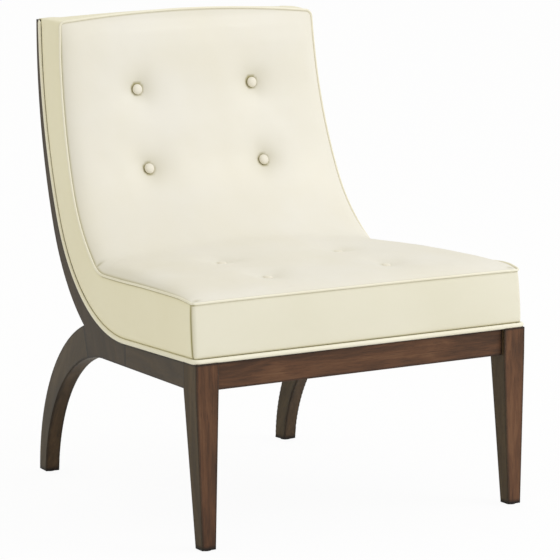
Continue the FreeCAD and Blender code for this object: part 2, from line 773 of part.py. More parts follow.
def cut_track(offset, front, height):
    """An offset of the frame top that starts at a place along and ends at a height."""
    whole = TOP_LINE.offset(offset)
    start, heading, length = whole.runs[0][1], whole.runs[0][3], whole.runs[0][4]
    skip = (front - start[0]) / math.cos(heading)
    track = Track(*whole.at(skip)[0], heading).line(length - skip)
    track.arc(whole.runs[1][5], radians("seat_sweep_end"))
    radius = whole.runs[2][5]
    return track.arc(radius, heading_at_height(track.end, track.heading, radius, height))


SHELL_TOP = size("back_height") - size("shell_top_gap")
SHELL_INNER = SHELL_SKIN + size("shell_thick")
SHELL_NEAR = size("leather") + 2 * size("fit_gap")


def shell_sides():
    """Plywood side of the shell: a band that follows the frame top up to the top rail."""
    front = SHELL_FRONT / math.cos(TAPER) + size("base_welt_radius")
    low_edge = cut_track(SHELL_NEAR, front, SHELL_TOP)
    high_edge = cut_track(size("shell_deep"), front, SHELL_TOP)
    outline = low_edge.pieces() + [straight(low_edge.end, high_edge.end)] + reversed_pieces(high_edge)
    outline += [straight(high_edge.runs[0][1], low_edge.runs[0][1])]
    for name, side in SIDES:
        body, board = side_board(f"shell_side_{name}_body", side, outline, "dims.shell_thick", SHELL_SKIN)
        drilled(body, f"shell_side_{name}")


def distance_at_depth(depth):
    """Distance along the frame top at a depth of the chair."""
    low, high = 0.0, LONG_TOP_LINE.length()
    for _ in range(50):
        middle = (low + high) / 2
        if LONG_TOP_LINE.at(middle)[0][0] * math.cos(TAPER) < depth:
            low = middle
        else:
            high = middle
    return low


def distance_at_height(track, height):
    """Distance along the upper part of a track at a height."""
    low, high = track.runs[0][4], track.length()
    for _ in range(50):
        middle = (low + high) / 2
        if track.at(middle)[0][1] < height:
            low = middle
        else:
            high = middle
    return low


LUMBAR_START = distance_at_depth(REAR_RAIL_BACK) + 30
RAIL_WIDE = size("shell_rail")
TOP_RAIL_END = distance_at_height(LONG_TOP_LINE, SHELL_TOP) - 4


def shell_rails():
    """Front, lumbar and top rails between the plywood sides."""
    start = SHELL_FRONT + size("base_welt_radius")
    near, far = SHELL_NEAR, size("shell_deep")
    back = far - size("web_thick")
    for name, high, first in (("front", SEAT_RAIL_TOP, start), ("lumbar", back, LUMBAR_START),
                              ("top", back, TOP_RAIL_END - RAIL_WIDE)):
        rail = ribbon(f"{name}_rail", near, high, SHELL_INNER, first, first + RAIL_WIDE, False)
        keep(rail, f"shell_{name}_rail")


def back_webbing():
    """Straps across the shell between the lumbar rail and the top rail."""
    far = size("shell_deep")
    count = int(size("web_count"))
    middle = (LUMBAR_START + TOP_RAIL_END) / 2
    for number in range(count):
        centre = middle + (number - (count - 1) / 2) * size("web_pitch")
        half = size("web_wide") / 2
        near = far - size("web_thick")
        strap = ribbon(f"web_{number + 1}", near, far, SHELL_INNER, centre - half, centre + half)
        keep(strap, f"back_webbing_{number + 1}")


def spring_path(x, first_y, tail, bends, radius, half):
    """Bars across, joined by half-circle bends at alternate ends, with a bar at each end."""
    edges = []
    y = first_y + tail
    hand = 1
    for _ in range(bends):
        start, end = Vector(x - hand * half, y, 0), Vector(x + hand * half, y, 0)
        far = end + Vector(0, 2 * radius, 0)
        edges.append(Part.makeLine(start, end))
        edges.append(Part.Arc(end, end + Vector(hand * radius, radius, 0), far).toShape())
        y += 2 * radius
        hand = -hand
    edges.append(Part.makeLine(Vector(x - hand * half, y, 0), Vector(x + hand * half, y, 0)))
    return Part.Wire(edges), y


def seat_springs():
    """Sinuous springs from the front shell rail to the rear seat rail, and the clips on their end bars."""
    radius = size("spring_bend")
    half = size("spring_wide") / 2 - radius
    first_y = SHELL_FRONT + size("base_welt_radius") + RAIL_WIDE / 2
    last_y = REAR_RAIL_BACK - size("rear_rail_thick") / 2
    bends = int((last_y - first_y) / (2 * radius))
    stretch = (last_y - first_y) / (bends * 2 * radius)
    count = int(size("spring_count"))
    clips = []
    clip_deep = size("spring_clip")
    for number in range(count):
        x = (number - (count - 1) / 2) * size("spring_pitch")
        path, end_y = spring_path(x, first_y, 0.0, bends, radius * stretch, half)
        start = path.Edges[0]
        middle = start.valueAt(start.FirstParameter)
        ring = Part.Wire(Part.makeCircle(size("spring_wire"), middle, Vector(1, 0, 0)))
        item = doc.addObject("Part::Feature", f"spring_{number + 1}")
        item.Shape = path.makePipeShell([ring], True, False)
        item.Placement = Placement(on_seat(0, 0, SPRING_LEVEL) + HOME, SEAT_TILT)
        keep(item, f"seat_spring_{number + 1}")
        for y in (first_y, end_y):
            block = doc.addObject("Part::Box", f"clip_{len(clips) + 1}_body")
            block.setExpression("Length", "dims.spring_clip")
            block.Width = clip_deep
            block.Height = SPRING_LEVEL + size("spring_wire") - SEAT_RAIL_TOP
            corner = on_seat(x - clip_deep / 2, y - clip_deep / 2, SEAT_RAIL_TOP)
            block.Placement = Placement(corner + HOME, SEAT_TILT)
            turned = SEAT_TILT.multiply(Rotation(Vector(0, 1, 0), 90))
            place = Placement(on_seat(x - clip_deep, y, SPRING_LEVEL) + HOME, turned)
            bore = cylinder(f"clip_{len(clips) + 1}_bore", f"dims.spring_wire + {FIT}", "2 * dims.spring_clip",
                            place)
            clip = doc.addObject("Part::Cut", f"clip_{len(clips) + 1}")
            clip.Base = block
            clip.Tool = bore
            clips.append(clip)
    group(clips, "spring_clips")


def decks():
    """Felt over the springs and webbing, a black cloth under the seat and the leather of the outside back."""
    start = SHELL_FRONT + size("base_welt_radius")
    near, far = DECK_NEAR, DECK_NEAR + size("deck_thick")
    middle = distance_at_depth(REAR_RAIL_BACK)
    gap = size("fit_gap")
    keep(ribbon("seat_felt", near, far, SHELL_SKIN, start, middle - gap), "seat_deck_felt")
    keep(ribbon("back_felt", near, far, SHELL_SKIN, middle, TOP_RAIL_END), "back_deck_felt")
    top = distance_at_height(LONG_TOP_LINE, size("back_height") + size("top_rise"))
    skin = ribbon("back_skin", gap, gap + size("leather"), SHELL_SKIN, middle + 3 * gap, top)
    above = top_cutter("back_skin_above", size("leather") + gap)
    keep(cut_chain(skin, "back_skin", [above]), "outside_back_leather")
    leg_inner = HALF_WIDTH - size("leg_wide") - gap
    leg_back = size("leg_deep") + gap
    apron_back = size("apron_setback") + size("apron_thick") + gap
    rear = REAR_RAIL_FRONT - gap
    corners = [(leg_inner, apron_back), (leg_inner, leg_back), (inner_face(leg_back) - gap, leg_back),
               (inner_face(rear) - gap, rear)]
    corners += [(-x, y) for x, y in reversed(corners)]
    low = -size("block_under") - size("block_height") - size("cloth_thick")
    seat_prism("dust_cover", "dust_cover", corners, low, "dims.cloth_thick")


# The upholstery: sections square to the side seam, from the frame top to the crowned face

def inset_at(distance):
    """How far the side seam lies inside the side plane."""
    crease = SEAT_LENGTH
    whole = SEAM.length()
    if distance < crease:
        share = max(0.0, distance) / crease
        return size("seat_inset") + (size("crease_inset") - size("seat_inset")) * share
    share = (distance - crease) / (whole - crease)
    return size("crease_inset") + (size("top_inset") - size("crease_inset")) * share


def crown_at(distance):
    """Crown of the face over its side seams, along the seam."""
    whole = SEAM.length()
    full, low, back = size("seat_crown"), size("crease_crown"), size("back_crown")
    marks = [(-40, size("front_crown") * 0.4), (0, size("front_crown")), (30, full * 0.62), (70, full * 0.88),
             (120, full), (250, full), (330, full * 0.75), (SEAT_LENGTH, low), (SEAT_LENGTH + 70, back),
             (whole - 60, back), (whole - 25, back * 0.6), (whole, back * 0.25), (whole + 60, 1.0)]
    for (low_mark, low_crown), (high_mark, high_crown) in zip(marks, marks[1:]):
        if distance <= high_mark:
            share = (distance - low_mark) / (high_mark - low_mark)
            return low_crown + (high_crown - low_crown) * share
    return marks[-1][1]


def frame_distance(point):
    """Signed distance of a place in the side plane from the frame top."""
    reached = None
    for run in LONG_TOP_LINE.runs:
        start, heading = run[1], run[3]
        if run[0] == "line":
            ahead = (point[0] - start[0]) * math.cos(heading) + (point[1] - start[1]) * math.sin(heading)
            above = (point[1] - start[1]) * math.cos(heading) - (point[0] - start[0]) * math.sin(heading)
            if ahead <= run[4]:
                return above
            continue
        radius = run[5]
        centre = (start[0] - radius * math.sin(heading), start[1] + radius * math.cos(heading))
        turn = math.atan2(point[0] - centre[0], centre[1] - point[1])
        reached = radius - math.dist(point, centre)
        if turn <= heading + run[4] / radius:
            return reached
    return reached


def depth_to_frame(distance, base):
    """Length of the side panel from its seam down to an offset of the frame top."""
    (along, up), heading = LONG_SEAM.at(distance)
    low, high = 0.0, 300.0
    for _ in range(45):
        middle = (low + high) / 2
        place = (along + middle * math.sin(heading), up - middle * math.cos(heading))
        if frame_distance(place) > base:
            low = middle
        else:
            high = middle
    return low


class Section:
    """One section square to the side seam: x across, v up from the seam."""

    def __init__(self, distance):
        (self.along, self.up), self.heading = LONG_SEAM.at(distance)
        self.distance = distance
        self.inset = inset_at(distance)
        self.half = self.half_at(0.0)
        self.crown = crown_at(distance)
        edge = size("edge_roll")
        rise = 0.28 * self.crown
        flat = self.half - edge
        self.shoulder = (flat, self.crown - rise)
        self.big = (flat ** 2 + rise ** 2) / (2 * rise)
        slope = 2 * math.atan2(rise, flat)
        lean = math.atan2(self.crown - rise, edge)
        chord = math.hypot(edge, self.crown - rise)
        self.small = chord / (2 * math.sin(lean - slope))
        self.centre = (flat - self.small * math.sin(slope), self.crown - rise - self.small * math.cos(slope))

    def half_at(self, v):
        """Half width of the side panel a distance off the seam."""
        depth = depth_share(self, v)
        along = self.along - v * math.sin(self.heading)
        return HALF_WIDTH - along * math.sin(TAPER) - self.inset * depth / math.cos(TAPER)

    def face(self, x):
        """Height of the face above the seam, at a place across."""
        if x <= self.shoulder[0]:
            return self.crown - self.big + math.sqrt(self.big ** 2 - x ** 2)
        across_roll = min(self.small, x - self.centre[0])
        return self.centre[1] + math.sqrt(max(0.0, self.small ** 2 - across_roll ** 2))

    def place(self, x, v):
        along = self.along - v * math.sin(self.heading)
        return Vector(x, along * math.cos(TAPER), self.up + v * math.cos(self.heading))

    def arcs(self, end, drop):
        """The face from its right end to its left end, moved down by the drop."""
        shoulder = self.shoulder[0]
        edges = []
        for first, last in ((end, shoulder), (shoulder, -shoulder), (-shoulder, -end)):
            places = [self.place(x, self.face(abs(x)) - drop) for x in (first, (first + last) / 2, last)]
            edges.append(Part.Arc(*places).toShape())
        return edges


def depth_share(section, v):
    """The seam's inset fades out down the side panel, which stands on the side plane at the frame."""
    depth = depth_to_frame(section.distance, 0.0)
    return max(0.0, 1.0 + v / depth)


def face_block(name, distances, end_in, drop, low):
    """The padding under the face: its ends this far inside the seam, its top this far under the face."""
    wires = []
    for distance in distances:
        section = Section(distance)
        end = section.half - end_in
        edges = section.arcs(end, drop)
        bottom = -low(section)
        right, left = section.place(end, bottom), section.place(-end, bottom)
        top_right = edges[0].valueAt(edges[0].FirstParameter)
        top_left = edges[-1].valueAt(edges[-1].LastParameter)
        edges += [Part.makeLine(top_left, left), Part.makeLine(left, right), Part.makeLine(right, top_right)]
        wires.append(Part.Wire(edges))
    return shaped(name, Part.makeLoft(wires, True, False))


FRONT_TILT = math.atan2(size("cushion_setback") - size("base_setback"), size("boxing_height"))
SEAM_Y = SEAM.runs[0][1][0] * math.cos(TAPER)
SEAM_UP = SEAM.runs[0][1][1]


def front_cutter(name, end_in):
    """All that lies ahead of the front boxing's face, or of a plane inside it."""
    item = doc.addObject("Part::Box", name)
    item.Length, item.Width, item.Height = 2 * HALF_WIDTH + 2 * FAR, FAR, 2 * FAR
    spin = Rotation(Vector(1, 0, 0), -math.degrees(FRONT_TILT))
    corner = Vector(0, SEAM_Y, SEAM_UP) + spin.multVec(Vector(-HALF_WIDTH - FAR, end_in - FAR, -FAR))
    item.Placement = Placement(corner + HOME, spin)
    return item


TOP_Y = SEAM.end[0] * math.cos(TAPER)


def top_outline(y, end_in, closing):
    """The chair's top edge at a depth, seen from the front, closed over the top or along an inner line."""
    along = y / math.cos(TAPER)
    middle_along = SEAM.end[0]
    frame_along = LONG_TOP_LINE.at(distance_at_height(LONG_TOP_LINE, size("back_height")))[0][0]
    share = min(1.0, max(0.0, (frame_along - along) / (frame_along - middle_along)))
    half = HALF_WIDTH - along * math.sin(TAPER) - size("top_inset") * share / math.cos(TAPER)
    fall = (y - TOP_Y) * math.tan(radians("top_fall"))
    corner = size("top_corner")
    rise = size("top_rise")
    level = size("back_height") - fall

    def run(inner):
        radius = corner - inner
        centre = (half - corner, level - corner)
        top = (half - corner, level - inner)
        spread = radius * math.sqrt(0.5)
        turn = Part.Arc(Vector(half - inner, y, centre[1]), Vector(centre[0] + spread, y, centre[1] + spread),
                        Vector(top[0], y, top[1]))
        arch = Part.Arc(Vector(top[0], y, top[1]), Vector(0, y, level + rise - inner),
                        Vector(-top[0], y, top[1]))
        back = Part.Arc(Vector(-top[0], y, top[1]), Vector(-centre[0] - spread, y, centre[1] + spread),
                        Vector(-half + inner, y, centre[1]))
        return [turn.toShape(), arch.toShape(), back.toShape()]

    edges = run(end_in)
    start, end = Vector(half - end_in, y, level - corner), Vector(-half + end_in, y, level - corner)
    if closing == "band":
        inner = run(end_in + size("leather"))
        inner_start = Vector(half - end_in - size("leather"), y, level - corner)
        inner_end = Vector(-half + end_in + size("leather"), y, level - corner)
        ends = [Part.makeLine(end, inner_end), Part.makeLine(inner_start, start)]
        return Part.Wire(edges + ends[:1] + inner[::-1] + ends[1:])
    lean = 0.18
    drop = 160.0
    low_left = end + Vector(-drop * lean, 0, -drop)
    low_right = start + Vector(drop * lean, 0, -drop)
    reach = HALF_WIDTH + 100
    corners = [end, low_left, Vector(-reach, y, low_left.z), Vector(-reach, y, level + 200),
               Vector(reach, y, level + 200), Vector(reach, y, low_right.z), low_right, start]
    return Part.Wire(edges + [Part.makeLine(a, b) for a, b in zip(corners, corners[1:])])


def top_cutter(name, end_in):
    """All that lies above the top edge, or above a line inside it."""
    wires = [top_outline(y, end_in, "above") for y in (TOP_Y - 80, TOP_Y, TOP_Y + 160)]
    return shaped(name, Part.makeLoft(wires, True, True))


def cut_chain(item, label, tools):
    for number, tool in enumerate(tools, start=1):
        cut = doc.addObject("Part::Cut", f"{label}_trim_{number}")
        cut.Base = item
        cut.Tool = tool
        item = cut
    return item


PAD_ROOM = WELT_ROOM + size("fit_gap")
PANEL_BASE = 2 * (size("base_welt_radius") + size("fit_gap"))
FRONT_STATIONS = [-25, -8, 4, 16, 30, 50, 70, 95, 120]


def seat_stations(extra=0.0):
    """Stations over the seat, close together where the crown rises from the front seam."""
    last = SEAT_LENGTH - size("fit_gap") / 2 + extra
    run = size("seat_run")
    return FRONT_STATIONS + steps(FRONT_STATIONS[-1], run, 60)[1:] + [(run + last) / 2, last]


def back_stations(extra=0.0):
    first = SEAT_LENGTH + size("fit_gap") / 2 - extra
    return stations(SEAM, first, SEAM.length() - 60, 40) + steps(SEAM.length() - 60, SEAM.length() + 60, 24)[1:]


def above_side_panel(name):
    """All above the level where the top boxing's rounded corners end."""
    item = doc.addObject("Part::Box", name)
    item.Length, item.Width, item.Height = 2 * FAR, 2 * FAR, FAR
    spin = Rotation(Vector(1, 0, 0), -size("top_fall"))
    level = size("back_height") - size("top_corner") - size("fit_gap")
    corner = Vector(0, TOP_Y, level) + spin.multVec(Vector(-FAR, -FAR, 0))
    item.Placement = Placement(corner + HOME, spin)
    return item


def front_distance(v):
    """Distance along the seam at which a line this far off it meets the front boxing's plane."""
    heading = SEAM.runs[0][3]
    lean = math.tan(FRONT_TILT)
    ahead = math.cos(heading) * math.cos(TAPER) - math.sin(heading) * lean
    return v * (math.sin(heading) * math.cos(TAPER) + math.cos(heading) * lean) / ahead


def side_boxing():
    """Leather side panel, from the base welt up to the panel welt, seat and back in one length."""
    ends = (-WELT_ROOM, -depth_to_frame(0.0, PANEL_BASE))
    rows = [[(front_distance(v), v) for v in ends]]
    for distance in FRONT_STATIONS[3:-1] + seat_stations()[len(FRONT_STATIONS) - 1:-1] + back_stations()[:-1]:
        rows.append([(distance, -WELT_ROOM), (distance, -depth_to_frame(distance, PANEL_BASE))])
    for name, side in SIDES:
        wires = []
        for row in rows:
            corners = [Section(distance).place(side * Section(distance).half_at(v), v) for distance, v in row]
            corners += [corner - Vector(side * size("leather"), 0, 0) for corner in reversed(corners)]
            wires.append(Part.makePolygon(corners + corners[:1]))
        panel = shaped(f"side_panel_{name}", Part.makeLoft(wires, True, False))
        tools = [above_side_panel(f"side_panel_{name}_above")]
        keep(cut_chain(panel, f"side_panel_{name}", tools), f"side_boxing_{name}")


def front_plane():
    """Puts a piece's XY plane on the face of the front boxing, with its origin on the front seam."""
    turn = Rotation(Vector(1, 0, 0), 90 - math.degrees(FRONT_TILT))
    return Placement(Vector(0, SEAM_Y, SEAM_UP) + HOME, turn)


def front_boxing():
    body = doc.addObject("PartDesign::Body", "front_panel")
    body.Placement = front_plane()
    section = Section(0.0)
    room = size("leather") + size("fit_gap")
    bottom = -(depth_to_frame(0.0, PANEL_BASE)) / math.cos(FRONT_TILT)
    wide, narrow = section.half_at(bottom) - room, section.half_at(-WELT_ROOM) - room
    bow = size("front_crown")
    chord_radius = (narrow ** 2 + bow ** 2) / (2 * bow)
    centre = Vector(0, bow - WELT_ROOM - chord_radius, 0)
    reach = math.asin(narrow / chord_radius)
    arc = Part.ArcOfCircle(Part.Circle(centre, Vector(0, 0, 1), chord_radius), math.pi / 2 - reach,
                           math.pi / 2 + reach)
    outline = [straight((-wide, bottom), (wide, bottom)), straight((wide, bottom), (narrow, -WELT_ROOM)), arc,
               straight((-narrow, -WELT_ROOM), (-wide, bottom))]
    add_pad(body, closed_sketch(body, "front_panel_outline", outline), "dims.leather", reverse=True)
    keep(body, "front_boxing")


def level_cutter(name, track, distance, offset, low, high):
    """A wide box square to a track at a place on it, between two heights off it."""
    (along, up), heading = track.at(distance)
    item = doc.addObject("Part::Box", name)
    item.Length, item.Width, item.Height = 2 * FAR, 2 * FAR, high - low
    spin = Rotation(Vector(1, 0, 0), math.degrees(heading))
    corner = Vector(0, along * math.cos(TAPER), up) + spin.multVec(Vector(-FAR, -FAR, offset + low))
    item.Placement = Placement(corner + HOME, spin)
    return item


def top_boxing():
    """Leather band over the top edge, down to the side panels at its rounded corners."""
    wires = [top_outline(y, 0.0, "band") for y in (TOP_Y - 20, TOP_Y, TOP_Y + 90)]
    band = shaped("top_band", Part.makeLoft(wires, True, True))
    frame_place = distance_at_height(LONG_TOP_LINE, size("back_height"))
    ahead = level_cutter("top_band_ahead", LONG_SEAM, SEAM.length(), -WELT_ROOM, 0, FAR)
    behind = level_cutter("top_band_behind", LONG_TOP_LINE, frame_place, size("fit_gap"), -FAR, 0)
    keep(cut_chain(band, "top_band", [ahead, behind]), "top_boxing")


# Buttons: where they sit, the dimples they pull and the twine behind them

class Tuft:
    def __init__(self, name, x, distance):
        self.name = name
        self.distance = distance
        self.section = Section(distance)
        self.x = x
        self.v = self.section.face(abs(x))
        heading = self.section.heading
        self.normal = Vector(0, -math.sin(heading) * math.cos(TAPER), math.cos(heading)).normalize()

    def below(self, drop):
        """A place under the button, this far below the face."""
        return self.section.place(self.x, self.v - drop)


def seat_tufts():
    found = []
    for row, place in (("front", size("seat_button_front")),
                       ("rear", size("seat_button_front") + size("seat_button_pitch"))):
        distance = (place - SEAM_Y) / math.cos(TAPER)
        for name, side in SIDES:
            found.append(Tuft(f"seat_button_{row}_{name}", side * size("button_spread"), distance))
    return found


def back_tufts():
    found = []
    for row, height in (("lower", size("back_button_low")),
                        ("upper", size("back_button_low") + size("back_button_pitch"))):
        low, high = size("seat_run"), SEAM.length()
        for _ in range(40):
            middle = (low + high) / 2
            section = Section(middle)
            if section.place(0, section.face(size("button_spread"))).z < height:
                low = middle
            else:
                high = middle
        for name, side in SIDES:
            found.append(Tuft(f"back_button_{row}_{name}", side * size("button_spread"), low))
    return found


def dimple(name, tuft, drop):
    """What a button pulls out of the face: a flat floor under it and a slope out to the face."""
    deep, floor, reach = size("tuft_deep"), size("button_radius") + size("fit_gap"), size("tuft_reach")
    rim = 1.0
    across_slope, up_slope = reach - floor, deep + rim
    length = math.hypot(across_slope, up_slope)
    bulge = 0.033 * length
    middle = Vector((floor + reach) / 2 - bulge * up_slope / length, 0,
                    (rim - deep) / 2 + bulge * across_slope / length)
    corners = [Vector(0, 0, -deep), Vector(floor, 0, -deep), Vector(reach, 0, rim), Vector(reach, 0, reach),
               Vector(0, 0, reach)]
    slope = Part.Arc(corners[1], middle, corners[2]).toShape()
    edges = [Part.makeLine(corners[0], corners[1]), slope, Part.makeLine(corners[2], corners[3]),
             Part.makeLine(corners[3], corners[4]), Part.makeLine(corners[4], corners[0])]
    item = doc.addObject("Part::Feature", name)
    item.Shape = Part.Face(Part.Wire(edges)).revolve(Vector(0, 0, 0), Vector(0, 0, 1), 360)
    item.Placement = Placement(tuft.below(drop) + HOME, towards(tuft.normal))
    return item


def twine_length(tuft):
    """From the underside of a button down to the felt."""
    return tuft.v - size("tuft_deep") + depth_to_frame(tuft.distance, DECK_NEAR + size("deck_thick"))


def tunnel(name, tuft):
    place = Placement(tuft.below(size("tuft_deep") + twine_length(tuft)) + HOME, towards(tuft.normal))
    return cylinder(name, "dims.twine_radius + dims.fit_gap", f"{twine_length(tuft) + OVER}", place)


def cover(label, outer_distances, inner_distances, trims, tufts):
    """A leather face panel: the space under its outside less the space under its inside."""
    outer = face_block(label + "_outside", outer_distances, WELT_ROOM, 0.0, lambda section: 12.0)
    inner = face_block(label + "_inside", inner_distances, 0.0, size("leather"), lambda section: 18.0)
    dimples = [dimple(f"{tuft.name}_dimple", tuft, 0.0) for tuft in tufts]
    outer = cut_chain(outer, label + "_outside", trims + dimples)
    inner = cut_chain(inner, label + "_inside",
                      [dimple(f"{tuft.name}_under", tuft, size("leather")) for tuft in tufts])
    skin = cut_chain(outer, label, [inner] + [tunnel(f"{tuft.name}_leather_hole", tuft) for tuft in tufts])
    return keep(skin, label)


def padding(label, distances, trims, tufts):
    """Foam under a face panel, down to the felt."""
    drop = size("leather") + size("fit_gap")
    block = face_block(label + "_block", distances, PAD_ROOM, drop,
                       lambda section: depth_to_frame(section.distance, FOAM_BASE))
    tools = trims + [dimple(f"{tuft.name}_foam_dimple", tuft, drop) for tuft in tufts]
    tools += [tunnel(f"{tuft.name}_foam_hole", tuft) for tuft in tufts]
    return keep(cut_chain(block, label, tools), label)


def button(tuft):
    """A leather-covered button: a low dome on a flat back."""
    turn = towards(tuft.normal)
    place = tuft.below(size("tuft_deep")) + HOME
    dome = size("button_high") - size("button_side")
    ball_radius = (size("button_radius") ** 2 + dome ** 2) / (2 * dome)
    disc = cylinder(tuft.name + "_disc", "dims.button_radius", "dims.button_high", Placement(place, turn))
    ball = doc.addObject("Part::Sphere", tuft.name + "_ball")
    ball.Radius = ball_radius
    ball.Placement = Placement(place + tuft.normal * (size("button_high") - ball_radius), turn)
    item = doc.addObject("Part::Common", tuft.name + "_body")
    item.Base = disc
    item.Tool = ball
    keep(item, tuft.name)


def twines(tufts, label):
    lines = []
    for tuft in tufts:
        place = Placement(tuft.below(size("tuft_deep") + twine_length(tuft)) + HOME, towards(tuft.normal))
        lines.append(cylinder(f"{tuft.name}_twine", "dims.twine_radius", f"{twine_length(tuft)}", place))
    group(lines, label)


def upholstery():
    side_boxing()
    front_boxing()
    top_boxing()
    seat, back = seat_tufts(), back_tufts()
    cover("seat_leather", seat_stations(), seat_stations(OVER / 2),
          [front_cutter("seat_leather_ahead", WELT_ROOM)], seat)
    cover("inside_back_leather", back_stations(), back_stations(OVER / 2),
          [top_cutter("back_leather_above", WELT_ROOM)], back)
    padding("seat_foam", seat_stations(), [front_cutter("seat_foam_ahead", PAD_ROOM)], seat)
    padding("back_foam", back_stations(), [top_cutter("back_foam_above", PAD_ROOM)], back)
    for tuft in seat + back:
        button(tuft)
    twines(seat, "seat_tuft_twines")
    twines(back, "back_tuft_twines")


# Welts: cords sewn into the seams

def ring(centre, tangent, side_way, radius):
    """A circle of three arcs round a path, with its start always on the same side of it."""
    other = tangent.cross(side_way)
    spots = []
    for number in range(6):
        turn = number * math.pi / 3
        spots.append(centre + side_way * (radius * math.cos(turn)) + other * (radius * math.sin(turn)))
    corners = [(spots[number], spots[number + 1], spots[(number + 2) % 6]) for number in (0, 2, 4)]
    arcs = [Part.Arc(*corner).toShape() for corner in corners]
    return Part.Wire(arcs)


def cord(points, radius):
    """A round cord through a row of points."""
    wires = []
    side_way = None
    for index, point in enumerate(points):
        before = points[max(0, index - 1)]
        after = points[min(len(points) - 1, index + 1)]
        tangent = (after - before).normalize()
        guess = side_way if side_way else Vector(1, 0, 0)
        side_way = (guess - tangent * guess.dot(tangent)).normalize()
        wires.append(ring(point, tangent, side_way, radius))
    return Part.makeLoft(wires, True, True)


def panel_welt():
    """The cord in the seam of the inside back and seat: up one side, over the top and down the other."""
    corner = size("top_corner")
    level = size("back_height") - corner
    last = distance_at_height(LONG_SEAM, level)
    side_points = []
    first = size("welt_radius") * 2
    for distance in stations(SEAM, first, last, 55):
        section = Section(distance)
        side_points.append(section.place(section.half, 0.0))
    section = Section(last)
    half = section.half
    y = side_points[-1].y
    slope = math.tan(math.pi / 2 - section.heading)
    centre_x = half - corner
    turn_points = []
    for degrees in (22, 45, 68):
        turn = math.radians(degrees)
        z = level + corner * math.sin(turn)
        turn_points.append(Vector(centre_x + corner * math.cos(turn), y + (z - level) * slope, z))
    rise = size("top_rise")
    arch_radius = (centre_x ** 2 + rise ** 2) / (2 * rise)
    arch_points = []
    for share in (1.0, 0.8, 0.6, 0.4, 0.2, 0.0):
        x = centre_x * share
        z = size("back_height") + rise - arch_radius + math.sqrt(arch_radius ** 2 - x ** 2)
        forward = Section(SEAM.length()).face(x)
        arch_points.append(Vector(x, y + (z - level) * slope - forward, z))
    right = side_points + turn_points + arch_points
    left = [Vector(-point.x, point.y, point.z) for point in reversed(right[:-1])]
    keep(shaped("panel_cord", cord(right + left, size("welt_radius"))), "panel_welt")


def front_seam_welt():
    half = Section(0.0).half - size("welt_radius") - size("fit_gap")
    bow = size("front_crown")
    path = Part.Wire(Part.Arc(Vector(-half, 0, 0), Vector(0, bow, 0), Vector(half, 0, 0)).toShape())
    start = path.Edges[0]
    tangent = start.tangentAt(start.FirstParameter)
    circle = Part.Wire(Part.makeCircle(size("welt_radius"), start.valueAt(start.FirstParameter), tangent))
    item = doc.addObject("Part::Feature", "front_seam_cord")
    item.Shape = path.makePipeShell([circle], True, False)
    item.Placement = front_plane()
    keep(item, "front_seam_welt")


def base_welt():
    """The thick cord round the foot of the shell: down one stile, along the front and up the other."""
    radius = size("base_welt_radius")
    lift = radius + size("fit_gap") / 2
    top = size("back_height") - size("top_corner") - radius
    track = cut_track(lift, size("base_setback") / math.cos(TAPER), top)
    bend = 2.5 * radius
    halves = {}
    for name, side in SIDES:
        edges = []
        run = track.runs[0]
        meeting = to_chair(side, *run[1])
        along = (to_chair(side, *run[2]) - meeting).normalize()
        inward = Vector(-side, 0, 0)
        cosine = along.dot(inward)
        back_off = bend / math.tan(math.acos(cosine) / 2)
        side_start, front_start = meeting + along * back_off, meeting + inward * back_off
        bisector = (along + inward).normalize()
        centre = meeting + bisector * (bend / math.sin(math.acos(cosine) / 2))
        edges.append(Part.Arc(front_start, centre - bisector * bend, side_start).toShape())
        edges.append(Part.makeLine(side_start, to_chair(side, *run[2])))
        distance = run[4]
        for arc in track.runs[1:]:
            middle = track.at(distance + arc[4] / 2)[0]
            distance += arc[4]
            spots = [to_chair(side, *arc[1]), to_chair(side, *middle), to_chair(side, *arc[2])]
            edges.append(Part.Arc(*spots).toShape())
        halves[side] = (front_start, edges)
    front = Part.makeLine(halves[LEFT][0], halves[RIGHT][0])
    path = Part.Wire(halves[LEFT][1][::-1] + [front] + halves[RIGHT][1])
    end_point = to_chair(LEFT, *track.end)
    tangent_point = to_chair(LEFT, *track.at(track.length() - 1)[0])
    circle = Part.Wire(Part.makeCircle(radius, end_point, tangent_point - end_point))
    keep(shaped("base_cord", path.makePipeShell([circle], True, False)), "base_welt")


def welts():
    panel_welt()
    front_seam_welt()
    base_welt()


# The whole chair

plan_dowels()
plan_rear_dowels()
plan_screws()
for side_name, side_sign in SIDES:
    front_leg(side_name, side_sign)
    side_frame(side_name, side_sign)
front_apron()
rear_seat_rail()
corner_blocks()
group(dowels, "frame_dowels")
group(screws, "block_screws")
foot_glides()
shell_sides()
shell_rails()
back_webbing()
seat_springs()
decks()
upholstery()
welts()

doc.recompute()
for item in doc.Objects:
    if "Invalid" in item.State or "Error" in item.State:
        raise RuntimeError(f"{item.Label} did not build: {item.State}")
os.makedirs("parts", exist_ok=True)
for piece in pieces:
    shape = piece.Shape
    if shape.isNull() or not shape.isValid() or not shape.Solids:
        raise RuntimeError(f"{piece.Label} has no valid solid")
for piece in pieces:
    piece.Shape.exportStep(f"parts/{piece.Label}.step")
print(len(pieces), "sub-parts written")
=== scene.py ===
"""Armless leather lounge chair: the looks of its upholstery and walnut frame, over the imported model.

Lengths in the shape functions are millimetres in the chair's own plan (depth from the front legs'
faces, height from the wood feet); they are turned into metres of the frame when a mesh is made.
A distance is measured along the side seam of the padded face, or along the frame's top edge below it.
"""

